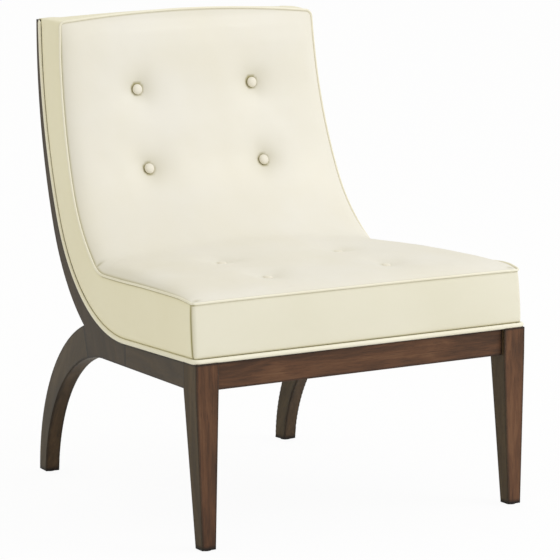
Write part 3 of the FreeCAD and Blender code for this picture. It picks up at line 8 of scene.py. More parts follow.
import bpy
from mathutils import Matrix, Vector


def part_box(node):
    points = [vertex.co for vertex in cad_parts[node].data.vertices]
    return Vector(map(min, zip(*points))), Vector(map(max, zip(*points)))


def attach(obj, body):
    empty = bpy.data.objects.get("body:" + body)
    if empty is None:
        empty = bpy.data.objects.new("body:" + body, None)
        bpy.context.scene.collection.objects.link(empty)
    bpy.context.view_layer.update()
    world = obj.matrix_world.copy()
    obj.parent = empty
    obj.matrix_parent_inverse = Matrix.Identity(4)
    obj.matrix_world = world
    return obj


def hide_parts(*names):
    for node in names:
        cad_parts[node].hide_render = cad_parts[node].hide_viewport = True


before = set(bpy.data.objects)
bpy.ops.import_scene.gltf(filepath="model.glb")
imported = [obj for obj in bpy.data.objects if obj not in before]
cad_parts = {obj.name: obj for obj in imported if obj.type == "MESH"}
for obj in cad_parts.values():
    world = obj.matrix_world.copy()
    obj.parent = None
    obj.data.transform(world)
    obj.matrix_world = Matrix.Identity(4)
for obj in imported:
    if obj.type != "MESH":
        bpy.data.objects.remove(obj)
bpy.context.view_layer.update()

from math import acos, atan2, cos, dist, exp, hypot, pi, radians, sin, sqrt, tan

import bmesh
import bpy
import numpy as np
from mathutils import Matrix, Vector, noise

# Sizes shared with the solids, in millimetres and radians; HOME is the plan's origin in the frame
HOME = (0.0, -345.043, 2.0)
TAPER = radians(5.4)
HALF_WIDTH = 339.0
LEG_TOP = 318.5
LEATHER = 1.5
WELT = 2.2
BASE_WELT = 4.25
FRONT_SEAM_BACK = 16.0
FRONT_BASE_BACK = 6.0
FRONT_FOOT_BACK = 7.2
WELT_FRONT = 4.4
FRONT_CORNER = 6.0
BOXING_HEIGHT = 102.0
BUTTON_RADIUS = 10.5
STILE_DEEP = 15.5
# The top edge and the boxing's rear edge: height at the corners, arch, and radius of the corners by side
TOP_HEIGHT = 845.0
TOP_RISE = 13.5
TOP_CORNERS = {-1: 9.5, 1: 15.0}
REAR_HEIGHT = TOP_HEIGHT + 1.3
REAR_RISE = 6.0
REAR_CORNER = 4.0
# The frame's top edge: along the rail, round the lower bend and up the stile
RAIL_FALL = radians(2.6)
RAIL_LENGTH = 294.5
RAIL_BEND, STILE_HEADING, STILE_RADIUS = 312.0, radians(65.5), 892.0
# The side seam of the padded face: along the seat, round two bends and up the back
SEAT_FALL = radians(2.1)
SEAT_LENGTH = 375.5
SEAT_BEND = 74.0
SEAM_BENDS = ((SEAT_BEND, radians(38.4)), (318.0, radians(66.0)))
BACK_RADIUS = 830.0

# The soft forms: how quickly the face rolls over at its edges, the share of its crown that is a low arch,
# depth of the tufts, length of the back that the top edge shapes, place of the boxing's corner seam, and
# place across of the buttons
EDGE_ROLL = 11.0
ARCH_SHARE = 0.3
TUFT_DEEP = 10.0
TOP_ZONE = 150.0
SEAM_SIDE = FRONT_CORNER + 1.5
BUTTON_X = 123.0


class Track:
    """A line and the tangent arcs that follow it, in a side plane."""

    def __init__(self, along, up, heading):
        self.runs = []
        self.end = (along, up)
        self.heading = heading

    def line(self, length):
        a, u = self.end
        self.runs.append((self.end, self.heading, length, 0.0))
        self.end = (a + length * cos(self.heading), u + length * sin(self.heading))
        return self

    def arc(self, radius, heading):
        a, u = self.end
        self.runs.append((self.end, self.heading, radius * (heading - self.heading), radius))
        self.end = (a + radius * (sin(heading) - sin(self.heading)),
                    u + radius * (cos(self.heading) - cos(heading)))
        self.heading = heading
        return self

    def arc_to_height(self, radius, height):
        turn = cos(self.heading) - (height - self.end[1]) / radius
        return self.arc(radius, acos(max(-1.0, min(1.0, turn))))

    def length(self):
        return sum(run[2] for run in self.runs)

    def at(self, distance):
        for run in self.runs:
            if distance <= run[2] or run is self.runs[-1]:
                break
            distance -= run[2]
        (a, u), heading, _, radius = run
        if radius == 0.0 or distance < 0:
            return a + distance * cos(heading), u + distance * sin(heading), heading
        turn = heading + distance / radius
        return (a + radius * (sin(turn) - sin(heading)),
                u + radius * (cos(heading) - cos(turn)), turn)


def frame_top(height):
    track = Track(0, LEG_TOP, -RAIL_FALL).line(RAIL_LENGTH).arc(RAIL_BEND, STILE_HEADING)
    return track.arc_to_height(STILE_RADIUS, height)


def side_seam(height):
    along = FRONT_SEAM_BACK / cos(TAPER)
    up = LEG_TOP - along * tan(RAIL_FALL) + BOXING_HEIGHT
    track = Track(along, up, -SEAT_FALL).line(SEAT_LENGTH)
    for radius, heading in SEAM_BENDS:
        track.arc(radius, heading)
    return track.arc_to_height(BACK_RADIUS, height)


BASE = frame_top(TOP_HEIGHT + 80)
LONG_SEAM = side_seam(TOP_HEIGHT + 40)
SEAM_LENGTH = side_seam(TOP_HEIGHT).length()
# Where the seat turns into the back: a little past half way round the first bend of 40.5 degrees
CREASE = SEAT_LENGTH + SEAT_BEND * radians(40.5) * 0.55


def bisect(low, high, below):
    """The place between low and high up to which below holds."""
    for _ in range(40):
        middle = (low + high) / 2
        if below(middle):
            low = middle
        else:
            high = middle
    return low


def distance_at_height(track, height):
    return bisect(300.0, track.length(), lambda distance: track.at(distance)[1] < height)


def distance_at_depth(depth):
    return bisect(0.0, BASE.length(), lambda distance: BASE.at(distance)[0] * cos(TAPER) < depth)


def curve(marks):
    """A smooth line without overshoot through (place, height) marks, level at both ends."""
    slopes = [0.0, *((v1 - v0) / (p1 - p0) for (p0, v0), (p1, v1) in zip(marks, marks[1:])), 0.0]
    means = [0.0 if a * b <= 0 else 2 * a * b / (a + b) for a, b in zip(slopes, slopes[1:])]

    def height(place):
        for index, ((p0, v0), (p1, v1)) in enumerate(zip(marks, marks[1:])):
            if place <= p1:
                step = p1 - p0
                t = max(0.0, (place - p0) / step)
                return (v0 * (2 * t ** 3 - 3 * t ** 2 + 1) + means[index] * step * (t ** 3 - 2 * t ** 2 + t)
                        + v1 * (3 * t ** 2 - 2 * t ** 3) + means[index + 1] * step * (t ** 3 - t ** 2))
        return marks[-1][1]
    return height


# How far the face is set in from the shell's side, as far as the crease and at the top
INSETS = (1.0, 12.5)
# Height of the padded face above its seam
CROWN = curve([
    (-40, 1.0), (0, 2.0), (14, 8.0), (34, 14.5), (70, 21.0), (120, 27.0), (230, 33.0), (320, 35.0),
    (CREASE, 32.0), (CREASE + 90, 23.0), (CREASE + 200, 19.5), (SEAM_LENGTH - 120, 19.0),
    (SEAM_LENGTH - 60, 16.5), (SEAM_LENGTH - 28, 12.0), (SEAM_LENGTH - 10, 7.4), (SEAM_LENGTH, 4.7),
    (SEAM_LENGTH + 60, 1.0)])
# Extra fullness of the middle where the seat runs into the back
FILL = curve([(180, 0.0), (290, 3.0), (CREASE, 13.0), (CREASE + 70, 13.0), (CREASE + 160, 4.0),
              (CREASE + 230, 0.0)])
# How far each side seam of the seat is pulled up between the front corner and the crease
LIFTS = {
    -1: curve([(0, 0.0), (20, 2.0), (55, 4.6), (110, 5.6), (200, 6.2), (290, 5.4), (350, 5.6), (400, 7.0),
               (440, 6.0), (510, 2.4), (600, 0.0)]),
    1: curve([(0, 0.0), (12, 3.0), (28, 7.0), (48, 8.6), (110, 8.4), (200, 7.4), (290, 5.0), (350, 2.6),
              (420, 0.0)])}


def frame_distance(along, up):
    """Signed distance of a place in the side plane from the frame's top edge."""
    for (a, u), heading, length, radius in BASE.runs:
        if radius == 0.0:
            ahead = (along - a) * cos(heading) + (up - u) * sin(heading)
            if ahead <= length:
                return (up - u) * cos(heading) - (along - a) * sin(heading)
            continue
        centre = (a - radius * sin(heading), u + radius * cos(heading))
        found = radius - hypot(along - centre[0], up - centre[1])
        if atan2(along - centre[0], centre[1] - up) <= heading + length / radius:
            break
    return found


def depth_to_frame(distance, off):
    """How deep below the side seam a line lies that runs off the frame's top edge by a height."""
    along, up, heading = LONG_SEAM.at(distance)
    return bisect(0.0, 300.0, lambda deep: frame_distance(along + deep * sin(heading),
                                                          up - deep * cos(heading)) > off)


def corner_cut(distance):
    """How far the rounded front corner draws the side edge in."""
    if distance >= FRONT_CORNER:
        return 0.0
    return FRONT_CORNER - sqrt(FRONT_CORNER ** 2 - (FRONT_CORNER - max(0.0, distance)) ** 2)


class Section:
    """One section square to the side seam: x across, v up from the seam."""

    def __init__(self, distance):
        self.along, self.up, self.heading = LONG_SEAM.at(distance)
        share = min(1.0, max(0.0, (distance - CREASE) / (SEAM_LENGTH - CREASE)))
        self.inset = INSETS[0] + (INSETS[1] - INSETS[0]) * share
        self.deep = depth_to_frame(distance, 0.0)
        self.half = self.half_at(0.0) - corner_cut(distance)
        self.crown, self.fill = CROWN(distance), FILL(distance)
        self.lifts = {side: lift(distance) for side, lift in LIFTS.items()}

    def half_at(self, v):
        along = self.along - v * sin(self.heading)
        share = max(0.0, 1.0 + v / self.deep)
        return HALF_WIDTH - along * sin(TAPER) - self.inset * share / cos(TAPER)

    def face(self, x):
        """Height of the padded face above the seam's track: a low arch with rolled edges."""
        lift = self.lifts[1 if x > 0 else -1]
        share = min(1.0, abs(x) / self.half)
        edge = (1 - share) * self.half
        rise = max(0.5, self.crown - lift)
        arch = rise * ARCH_SHARE * (1 - share ** 2)
        roll = 1 - exp(-edge / EDGE_ROLL)
        return lift + arch + rise * (1 - ARCH_SHARE) * roll + self.fill * (1 - share ** 2) ** 2

    def place(self, x, v):
        along = self.along - v * sin(self.heading)
        return (x, along * cos(TAPER), self.up + v * cos(self.heading))


def to_frame(point):
    return Vector([(point[axis] + HOME[axis]) * 0.001 for axis in range(3)])


def distance_of_button(height):
    """The distance at which the face beside a button reaches a height."""
    def below(distance):
        section = Section(distance)
        return section.place(0, section.face(BUTTON_X))[2] < height
    return bisect(380.0, SEAM_LENGTH, below)


# Buttons: name of the solid, place across and distance
BUTTONS = []
for row, distance in (("seat_button_front", 107.5), ("seat_button_rear", 262.2),
                      ("back_button_lower", distance_of_button(578.6)),
                      ("back_button_upper", distance_of_button(718.6))):
    for name, sign in (("left", -1), ("right", 1)):
        BUTTONS.append((f"{row}_{name}", sign * BUTTON_X, distance))
# Tufts of the back and the seat: share of the depth close by and its fall-off, depth and width of the wide
# dimple, and strength of the painted shade on the ring beside the button and in the dimple
BACK_TUFT = (0.86, 15.0, 4.4, 46.0, 0.75, 0.17)
SEAT_TUFT = (0.25, 12.0, 7.5, 42.0, 0.10, 0.05)
# Tucks in the face: side, distance, reach in from the seam, depth, and half its length along and across
TUCKS = [(-1, CREASE + 12.0, 6.0, 3.2, 5.0, 9.0), (1, CREASE + 12.0, 6.0, 3.2, 5.0, 9.0),
         (-1, 10.0, 12.0, 1.5, 3.2, 9.0), (1, 10.0, 12.0, 1.0, 3.2, 9.0)]


def soft(value, low, high):
    t = min(1.0, max(0.0, (value - low) / (high - low)))
    return t * t * (3 - 2 * t)


def bumpy(x, y, z, scale, seed):
    return noise.noise(Vector((x / scale + seed, y / scale - seed, z / scale)))


def tuft_deep(distance):
    return TUFT_DEEP - (1.5 if distance < CREASE else 0.0)


def tuft_shade(x, distance):
    """Painted shade in the tufts: deep beside the button and faint in the dimple round it."""
    reach = min(hypot(x - bx, distance - bd) for _, bx, bd in BUTTONS)
    ring, dimple = (BACK_TUFT if distance > CREASE else SEAT_TUFT)[4:]
    return (ring * exp(-(max(0.0, reach - BUTTON_RADIUS) / 1.7) ** 2)
            + dimple * exp(-(reach / 31.0) ** 2))


def tuft_pull(x, distance):
    """How far the buttons draw the face in at a place on it."""
    pull = 0.0
    for index, (_, bx, bd) in enumerate(BUTTONS):
        reach = hypot(x - bx, distance - bd)
        if reach > 150:
            continue
        share, fall_off, wide_deep, wide = (BACK_TUFT if bd > CREASE else SEAT_TUFT)[:4]
        pull += share * tuft_deep(bd) * exp(-max(0.0, reach - BUTTON_RADIUS) / fall_off)
        pull += wide_deep * exp(-(reach / wide) ** 2)
        turn = atan2(distance - bd, x - bx)
        pull += 0.45 * sin(3 * turn + index * 1.7) * exp(-((reach - 26) / 14.0) ** 2)
        if reach < BUTTON_RADIUS + 2:
            pull = max(pull, tuft_deep(bd))
    return pull


def tuck(x, distance, edge):
    """Share and depth of the small tucks where the leather is drawn together at a corner of the seam; the
    share sets their painted shade.
    """
    share = depth = 0.0
    for side, at, reach, deep, along, across in TUCKS:
        if side * x > 0:
            near = exp(-((distance - at) / along) ** 2 - ((edge - reach) / across) ** 2)
            share, depth = max(share, near), depth + deep * near
    return share, depth


def top_height(x):
    """Height of the top edge across the chair."""
    half = TOP_SECTION.half
    corner = TOP_CORNERS[1 if x > 0 else -1]
    flat = half - corner
    arch = (flat ** 2 + TOP_RISE ** 2) / (2 * TOP_RISE)
    x = min(abs(x), half)
    if x <= flat:
        return TOP_HEIGHT + TOP_RISE - arch + sqrt(arch ** 2 - x ** 2)
    return TOP_HEIGHT - corner + sqrt(max(0.0, corner ** 2 - (x - flat) ** 2))


TOP_SECTION = Section(distance_at_height(LONG_SEAM, TOP_HEIGHT - 14.0))
SIDE_LASTS = {sign: distance_at_height(LONG_SEAM, TOP_HEIGHT - corner)
              for sign, corner in TOP_CORNERS.items()}


def solid(name, points, faces, marks=None):
    """An object with outward normals; marks say how deep in a seam, tuft or tuck each point lies, which sets
    the painted shade there.
    """
    mesh = bpy.data.meshes.new(name)
    mesh.from_pydata([tuple(point) for point in points], [], faces)
    mesh.validate()
    mesh.update()
    if marks:
        mesh.attributes.new("seam", "FLOAT", "POINT").data.foreach_set("value", marks)
    work = bmesh.new()
    work.from_mesh(mesh)
    bmesh.ops.remove_doubles(work, verts=work.verts, dist=1e-6)
    bmesh.ops.recalc_face_normals(work, faces=work.faces)
    work.to_mesh(mesh)
    work.free()
    mesh.shade_smooth()
    item = bpy.data.objects.new(name, mesh)
    bpy.context.scene.collection.objects.link(item)
    return item


def shell(name, outer, inner, rows, columns, marks=None):
    """A closed skin between two like grids, with the marks of the outer one."""
    count = rows * columns
    cells = [r * columns + c for r in range(rows - 1) for c in range(columns - 1)]
    quads = [(a, a + 1, a + columns + 1, a + columns) for a in cells]
    faces = quads + [tuple(count + corner for corner in quad[::-1]) for quad in quads]
    edge = [r * columns for r in range(rows)] + [(rows - 1) * columns + c for c in range(1, columns)]
    edge += [r * columns + columns - 1 for r in range(rows - 2, -1, -1)] + list(range(columns - 2, 0, -1))
    for a, b in zip(edge, edge[1:] + edge[:1]):
        faces.append((a, b, b + count, a + count))
    return solid(name, [to_frame(p) for p in outer + inner], faces, marks and marks + [1.0] * count)


def edge_spread(count):
    """Places from -1 to 1, with a few close together at each end."""
    ends = [reach / HALF_WIDTH for reach in (0.0, 0.5, 1.1, 1.9, 3.0, 4.5, 6.5, 9.0, 12.0)]
    middle = np.linspace(-1 + 15.5 / HALF_WIDTH, 1 - 15.5 / HALF_WIDTH, count - 2 * len(ends))
    return [-1 + end for end in ends] + list(middle) + [1 - end for end in reversed(ends)]


def seam_shade(reach):
    """Painted shade along a seam: 1 at the seam and 0 a few millimetres away from it."""
    return exp(-(max(0.0, reach) / 2.2) ** 2)


# The sitting face, one continuous crowned form from the front seam to the top seam

def face_point(share_x, distance, top_share):
    """A place on the padded face: share across, distance along and how much the top edge shapes it."""
    if top_share > 0:
        wanted = top_height(share_x * TOP_SECTION.half) - 0.6
        start = SEAM_LENGTH - TOP_ZONE
        distance = start + (distance_at_height(LONG_SEAM, wanted) - start) * top_share
    section = Section(distance)
    x = share_x * section.half
    edge = section.half - abs(x)
    v = section.face(x)
    calm = soft(edge, 0, 26) * soft(distance, 0, 30) * (1 - soft(top_share, 0.82, 1.0))
    v -= tuft_pull(x, distance) + tuck(x, distance, edge)[1] * soft(edge, 0, 3)
    place = section.place(x, v)
    v += (bumpy(*place, 95.0, 3.1) * 1.6 + bumpy(*place, 38.0, 7.7) * 0.5) * calm
    if top_share > 0.8:
        v = min(v, section.face(x))
    return section.place(x, v)


def soften_crease(points, distances, across):
    """The bend between seat and back, rounded off by the padding away from the side seams."""
    rows, columns = len(distances), len(across)
    grid = np.array(points).reshape(rows, columns, 3)
    places = np.array(distances)
    softened = grid.copy()
    for row, distance in enumerate(distances):
        bell = soft(distance, CREASE - 125, CREASE - 35) * (1 - soft(distance, CREASE + 75, CREASE + 215))
        if bell <= 0:
            continue
        near = np.exp(-((places - distance) / 46.0) ** 2) * np.gradient(places)
        near[places > SEAM_LENGTH - TOP_ZONE - 1] = 0
        mean = np.tensordot(near / near.sum(), grid, axes=1)
        for column, share in enumerate(across):
            hold = bell * soft((1 - abs(share)) * HALF_WIDTH, 5, 95)
            softened[row, column] = grid[row, column] + (mean[column] - grid[row, column]) * hold
    return [tuple(point) for point in softened.reshape(-1, 3)]


def sitting_face():
    across = edge_spread(149)
    start = SEAM_LENGTH - TOP_ZONE
    plan = [(distance, 0.0) for distance in [0, 0.5, 1.1, 2, 3.2, 4.6, 6.5, 9, 12, 16, 20.5, 25]]
    plan += [(distance, 0.0) for distance in np.linspace(30, start, 138)[:-1]]
    plan += [(start, share) for share in np.linspace(0.0001, 0.965, 32)]
    plan += [(start, 1 - reach / TOP_ZONE) for reach in (4.0, 2.8, 1.8, 1.0, 0.5, 0.0)]
    outer = [face_point(share_x, *row) for row in plan for share_x in across]
    outer = soften_crease(outer, [distance for distance, _ in plan], across)
    inner, marks = [], []
    for index, (distance, top_share) in enumerate(plan):
        distance += TOP_ZONE * top_share
        section = Section(distance)
        for column, share_x in enumerate(across):
            inside = section.place(share_x * (section.half - 3.2), -max(4.0, section.deep - 33.2))
            if top_share > 0.9:
                height = outer[index * len(across) + column][2]
                inside = (inside[0], inside[1], min(inside[2], height - 2.5))
            inner.append(inside)
            edge = (1 - abs(share_x)) * section.half
            # Painted shade marks: along the seams, in the tufts and in the tucks
            seam = seam_shade(min(edge, distance, TOP_ZONE * (1 - top_share)))
            tucked = tuck(share_x, distance, edge)[0]
            marks.append(max(seam, tuft_shade(share_x * section.half, distance), 0.6 * tucked ** 2))
    item = shell("seat_and_back_cushion", outer, inner, len(plan), len(across), marks)
    rounding = item.modifiers.new("smooth_form", "SUBSURF")
    rounding.levels = rounding.render_levels = 1
    return item


# The boxing, the outside back and the welts

def off_base(x, station, off):
    """A place across at x and a little off the frame's top edge."""
    along, up, heading = station
    return x, (along - off * sin(heading)) * cos(TAPER), up + off * cos(heading)


def welt_radius(distance):
    """Radius of the base welt at a distance along the frame: thinner up the stiles."""
    return BASE_WELT - 1.35 * soft(distance, 330, 620)


def rear_top_height(x):
    """Height of the boxing's rear edge across the chair, flatter than its front edge."""
    flat = REAR_HALF - REAR_CORNER
    x = min(abs(x), REAR_HALF)
    if x <= flat:
        return REAR_HEIGHT + REAR_RISE * (1 - (x / flat) ** 2)
    return REAR_HEIGHT - REAR_CORNER + sqrt(max(0.0, REAR_CORNER ** 2 - (x - flat) ** 2))


def rear_depth(x, height, off):
    """Depth of the shell's rear at a height; over the stile's top the leather reaches the stile's back."""
    inward = REAR_HALF - abs(x)
    cap = soft(inward, 1.5, 5.0) * (1 - soft(inward, 27.0, 36.0)) * soft(height, TOP_HEIGHT - 2, TOP_HEIGHT)
    return off_base(x, BASE.at(distance_at_height(BASE, height)), off)[1] + STILE_DEEP * cap


def side_station(distance, sign=1):
    """Front and rear ends of the boxing at a distance along the side seam, and their outward ways."""
    section = Section(distance)
    deep = depth_to_frame(distance, 2 * welt_radius(distance) - 0.9)
    front = section.place(section.half_at(-0.8), section.lifts[sign] - 0.8)
    rear = section.place(section.half_at(-deep), -deep)
    if distance < 60:
        foot = FRONT_FOOT_BACK + distance * cos(TAPER)
        rear = (rear[0], rear[1] + (foot - rear[1]) * (1 - distance / 60), rear[2])
    return front, rear, (1.0, 0.0), (1.0, 0.0)


REAR_HALF = side_station(SIDE_LASTS[1])[1][0]


def face_depth(x, height):
    """Depth of the padded face's edge at a height near the top."""
    section = Section(distance_at_height(LONG_SEAM, height))
    return section.place(0, section.face(x))[1]


def corner_station(share, sign):
    """The ends of the boxing part way round a top corner."""
    half, corner = TOP_SECTION.half, TOP_CORNERS[sign]
    angle = share * pi / 2
    x = half - corner + corner * cos(angle)
    z = TOP_HEIGHT - corner + corner * sin(angle)
    front = (x - 0.4, face_depth(x, z) + 0.8, z - 0.4)
    low = side_station(SIDE_LASTS[sign], sign)[1][2]
    rise = REAR_HEIGHT - REAR_CORNER - low
    path = Track(REAR_HALF, low, pi / 2).line(rise).arc(REAR_CORNER, pi).line(corner - REAR_CORNER)
    rear_x, rear_z, turn = path.at(share * path.length())
    rear = (rear_x, rear_depth(rear_x, rear_z, 4.9 - 2.9 * share), rear_z)
    return front, rear, (cos(angle), sin(angle)), (sin(turn), -cos(turn))


def top_station(share, sign):
    """The ends of the boxing across the top, from the corner (0) to the middle (1)."""
    x = (TOP_SECTION.half - TOP_CORNERS[sign]) * (1 - share)
    z = top_height(sign * x)
    front = (x, face_depth(x, z) + 0.8, z - 0.5)
    rear_x = (REAR_HALF - TOP_CORNERS[sign]) * (1 - share)
    rear_z = rear_top_height(rear_x)
    return front, (rear_x, rear_depth(rear_x, rear_z, 2.0), rear_z), (0.0, 1.0), (0.0, 1.0)


def seam_to_seam(count):
    """Shares across a boxing panel, close together at both of its seams."""
    return [0.0, 0.008, 0.02, 0.04, 0.07, *np.linspace(0.11, 0.89, count), 0.93, 0.96, 0.98, 0.992, 1.0]


# Reaches in from each end of the boxing strip, where its rows lie close together
END_ROWS = (0.0, 0.5, 1.2, 2.2, 3.8, 6.0)


def boxing_band():
    """The boxing in one strip: up one side, over the top and down the other side."""
    halves = {}
    for sign in (1, -1):
        distances = [SEAM_SIDE + reach for reach in END_ROWS[:-1]]
        distances += list(np.linspace(SEAM_SIDE + END_ROWS[-1], SIDE_LASTS[sign], 200))
        halves[sign] = [side_station(distance, sign) for distance in distances]
        halves[sign] += [corner_station(share, sign) for share in np.linspace(0, 1, 17)[1:]]
        halves[sign] += [top_station(share, sign) for share in np.linspace(0, 1, 70)[1:]]
    stations = [(1, *item) for item in halves[1]] + [(-1, *item) for item in reversed(halves[-1][:-1])]
    shares = seam_to_seam(19)
    rows = len(stations)
    outer, inner, marks = [], [], []
    for row, (sign, front, rear, front_way, rear_way) in enumerate(stations):
        wide = dist(front, rear)
        ends = END_ROWS[min(row, rows - 1 - row, len(END_ROWS) - 1)]
        for share in shares:
            way_x, way_z = (a + (b - a) * share for a, b in zip(front_way, rear_way))
            size = hypot(way_x, way_z) or 1.0
            x, y, z = (a + (b - a) * share for a, b in zip(front, rear))
            puff = sin(pi * share) ** 0.7 * min(2.2, wide * 0.024)
            puff += bumpy(sign * x, y, z, 85.0, 11.3) * 0.8 * sin(pi * share)
            puff -= 1.5 * exp(-share * wide / 2.6) + 1.6 * exp(-(1 - share) * wide / 3.0)
            puff -= 1.3 * exp(-ends / 2.2)
            # Painted shade along both seams of the strip and at its ends
            marks.append(max(seam_shade(reach) for reach in (share * wide, (1 - share) * wide, ends)))
            for points, off in ((outer, puff), (inner, puff - LEATHER)):
                points.append((sign * (x + way_x / size * off), y, z + way_z / size * off))
    return shell("boxing_panel", outer, inner, rows, len(shares), marks)


# Angles of the steps round a corner
QUARTER = [pi / 2 * step / 8 for step in range(1, 9)]


def corner_path(half):
    """Plan line of the front boxing from left to right: x, how far behind its front, and its outward way."""
    flat = half - FRONT_CORNER
    found = [(flat * step / 60, 0.0, (0.0, -1.0)) for step in range(61)]
    found += [(flat + FRONT_CORNER * sin(turn), FRONT_CORNER * (1 - cos(turn)), (sin(turn), -cos(turn)))
              for turn in QUARTER]
    found.append((half, SEAM_SIDE - 0.2, (1.0, 0.0)))
    return [(-x, back, (-way[0], way[1])) for x, back, way in reversed(found[1:])] + found


def front_panel():
    """The front boxing, carried round both corners to the seam on each side."""
    section = Section(FRONT_CORNER)
    shares = seam_to_seam(21)
    bottom = LEG_TOP - FRONT_BASE_BACK * tan(RAIL_FALL) + 2 * BASE_WELT - 0.9
    plan_top = corner_path(section.half_at(0.0))
    plan_low = corner_path(HALF_WIDTH - 1.8)
    columns = len(plan_top)
    outer, inner, marks = [], [], []
    for share in shares:
        for c in range(columns):
            (x0, b0, _), (x1, b1, way) = plan_low[c], plan_top[c]
            x, back = x0 + (x1 - x0) * share, b0 + (b1 - b0) * share
            edge = min(c, columns - 1 - c)
            local = Section(back)
            top = local.place(x1, local.face(max(-local.half, min(local.half, x1))) - 0.9)[2]
            z = bottom + (top - bottom) * share
            y = FRONT_FOOT_BACK + (FRONT_SEAM_BACK - FRONT_FOOT_BACK) * share + back
            near = min(1.0, abs(x) / section.half)
            puff = sin(pi * share) ** 0.7 * (1.2 + 1.8 * (1 - near ** 6))
            puff += bumpy(x, 3.0, z, 90.0, 5.5) * 0.9 * sin(pi * share) * (1 - near ** 8)
            puff -= 1.7 * exp(-share * 100 / 3.0) + 1.5 * exp(-(1 - share) * 100 / 2.6)
            side_reach = edge * 0.8 if edge < 6 else 99.0
            puff -= 1.2 * exp(-side_reach)
            # Painted shade along the seams and at the ends
            marks.append(max(seam_shade(reach) for reach in (share * 100, (1 - share) * 100, side_reach)))
            for points, off in ((outer, puff), (inner, puff - LEATHER)):
                points.append((x + way[0] * off, y + way[1] * off, z))
    return shell("front_boxing_panel", outer, inner, len(shares), columns, marks)


def top_edge_point(turn):
    """A place along the top edge, from the left corner's foot (-1) to the right corner's (1)."""
    sign = 1 if turn > 0 else -1
    half, corner = TOP_SECTION.half, TOP_CORNERS[sign]
    flat = half - corner
    reach = abs(turn) * (flat + corner * pi / 2)
    if reach <= flat:
        return sign * reach, top_height(sign * reach)
    angle = (reach - flat) / corner
    return sign * (flat + corner * sin(angle)), TOP_HEIGHT - corner + corner * cos(angle)


def sheet(name, rows, columns, both_sides):
    """A skin whose outer and inner place are given for a share along (0 to 1) and across (-1 to 1)."""
    pairs = [both_sides(r / (rows - 1), -1 + 2 * c / (columns - 1))
             for r in range(rows) for c in range(columns)]
    return shell(name, *zip(*pairs), rows, columns)


def back_panel():
    """The leather of the outside back, stretched between the stiles."""
    start = distance_at_depth(394.3) + 1.0

    def both_sides(share, side):
        limit = distance_at_height(BASE, rear_top_height(side * REAR_HALF * 0.985) - 1.2)
        station = BASE.at(start + (limit - start) * share)
        x = side * (HALF_WIDTH - station[0] * sin(TAPER) - 4.6)
        sag = 0.4 + sin(pi * share) * (1 - side ** 4) * 1.2
        return off_base(x, station, sag), off_base(x, station, sag + LEATHER)
    return sheet("outside_back_panel", 90, 61, both_sides)


def tube(name, runs, around):
    """Round cords, each through its points with a radius at each."""
    spots, faces = [], []
    for points, radii in runs:
        first, side_way = len(spots), None
        count = len(points)
        points = [to_frame(point) for point in points]
        for index, point in enumerate(points):
            tangent = (points[min(count - 1, index + 1)] - points[max(0, index - 1)]).normalized()
            guess = side_way if side_way else Vector((0, 0, 1) if abs(tangent.z) < 0.9 else (1, 0, 0))
            side_way = (guess - tangent * guess.dot(tangent)).normalized()
            other = tangent.cross(side_way)
            radius = radii[index] * 0.001
            for step in range(around):
                turn = 2 * pi * step / around
                spots.append(point + side_way * (radius * cos(turn)) + other * (radius * sin(turn)))
        for start in range(first, first + (count - 1) * around, around):
            for step in range(around):
                a, b = start + step, start + (step + 1) % around
                faces.append((a, b, b + around, a + around))
        faces.append(tuple(range(first, first + around))[::-1])
        faces.append(tuple(range(first + (count - 1) * around, first + count * around)))
    return solid(name, spots, faces)


def face_outline(distance, sign=1):
    section = Section(distance)
    return section.place(sign * section.half, section.lifts[sign])


def panel_welt():
    """One cord round the face: front corner, up the side, over the top, down the other side."""
    corner = FRONT_CORNER * (1 - sqrt(0.5))
    sides = {1: [], -1: []}
    for sign, last in SIDE_LASTS.items():
        distances = [*np.linspace(corner, FRONT_CORNER, 6)[:-1], *np.linspace(FRONT_CORNER, last, 210)]
        for distance in distances:
            x, y, z = face_outline(distance, sign)
            out = 0.9 * soft(distance, 0, 8) * (1 - soft(distance, last - 60, last))
            sides[sign].append((x + sign * out, y, z + 0.5 * soft(distance, 0, 10)))
    top = []
    for turn in np.linspace(1.0, -1.0, 180)[1:-1]:
        x, z = top_edge_point(turn)
        top.append((x, face_depth(x, z), z))
    points = sides[1] + top + sides[-1][::-1]
    return tube("panel_welt_cord", [(points, [WELT] * len(points))], 14)


def front_welt():
    """The cord along the front seam, a little in front of the seam and below it."""
    section = Section(0.0)
    flat = Section(FRONT_CORNER).half_at(0.0) - FRONT_CORNER
    right = [(x, *section.place(x, section.face(x))[1:]) for x in np.linspace(0, flat, 75)]
    right += [face_outline(FRONT_CORNER * (1 - cos(pi / 16 * step))) for step in range(1, 5)]
    found = []
    for index, (x, y, z) in enumerate(right):
        calm = 1 - soft(index, len(right) - 9, len(right) - 1)
        found.append((x, y - 1.5 * calm, z - 1.1 * calm + 0.1))
    points = [(-x, y, z) for x, y, z in reversed(found[1:])] + found
    return tube("front_seam_welt_cord", [(points, [WELT] * len(points))], 14)


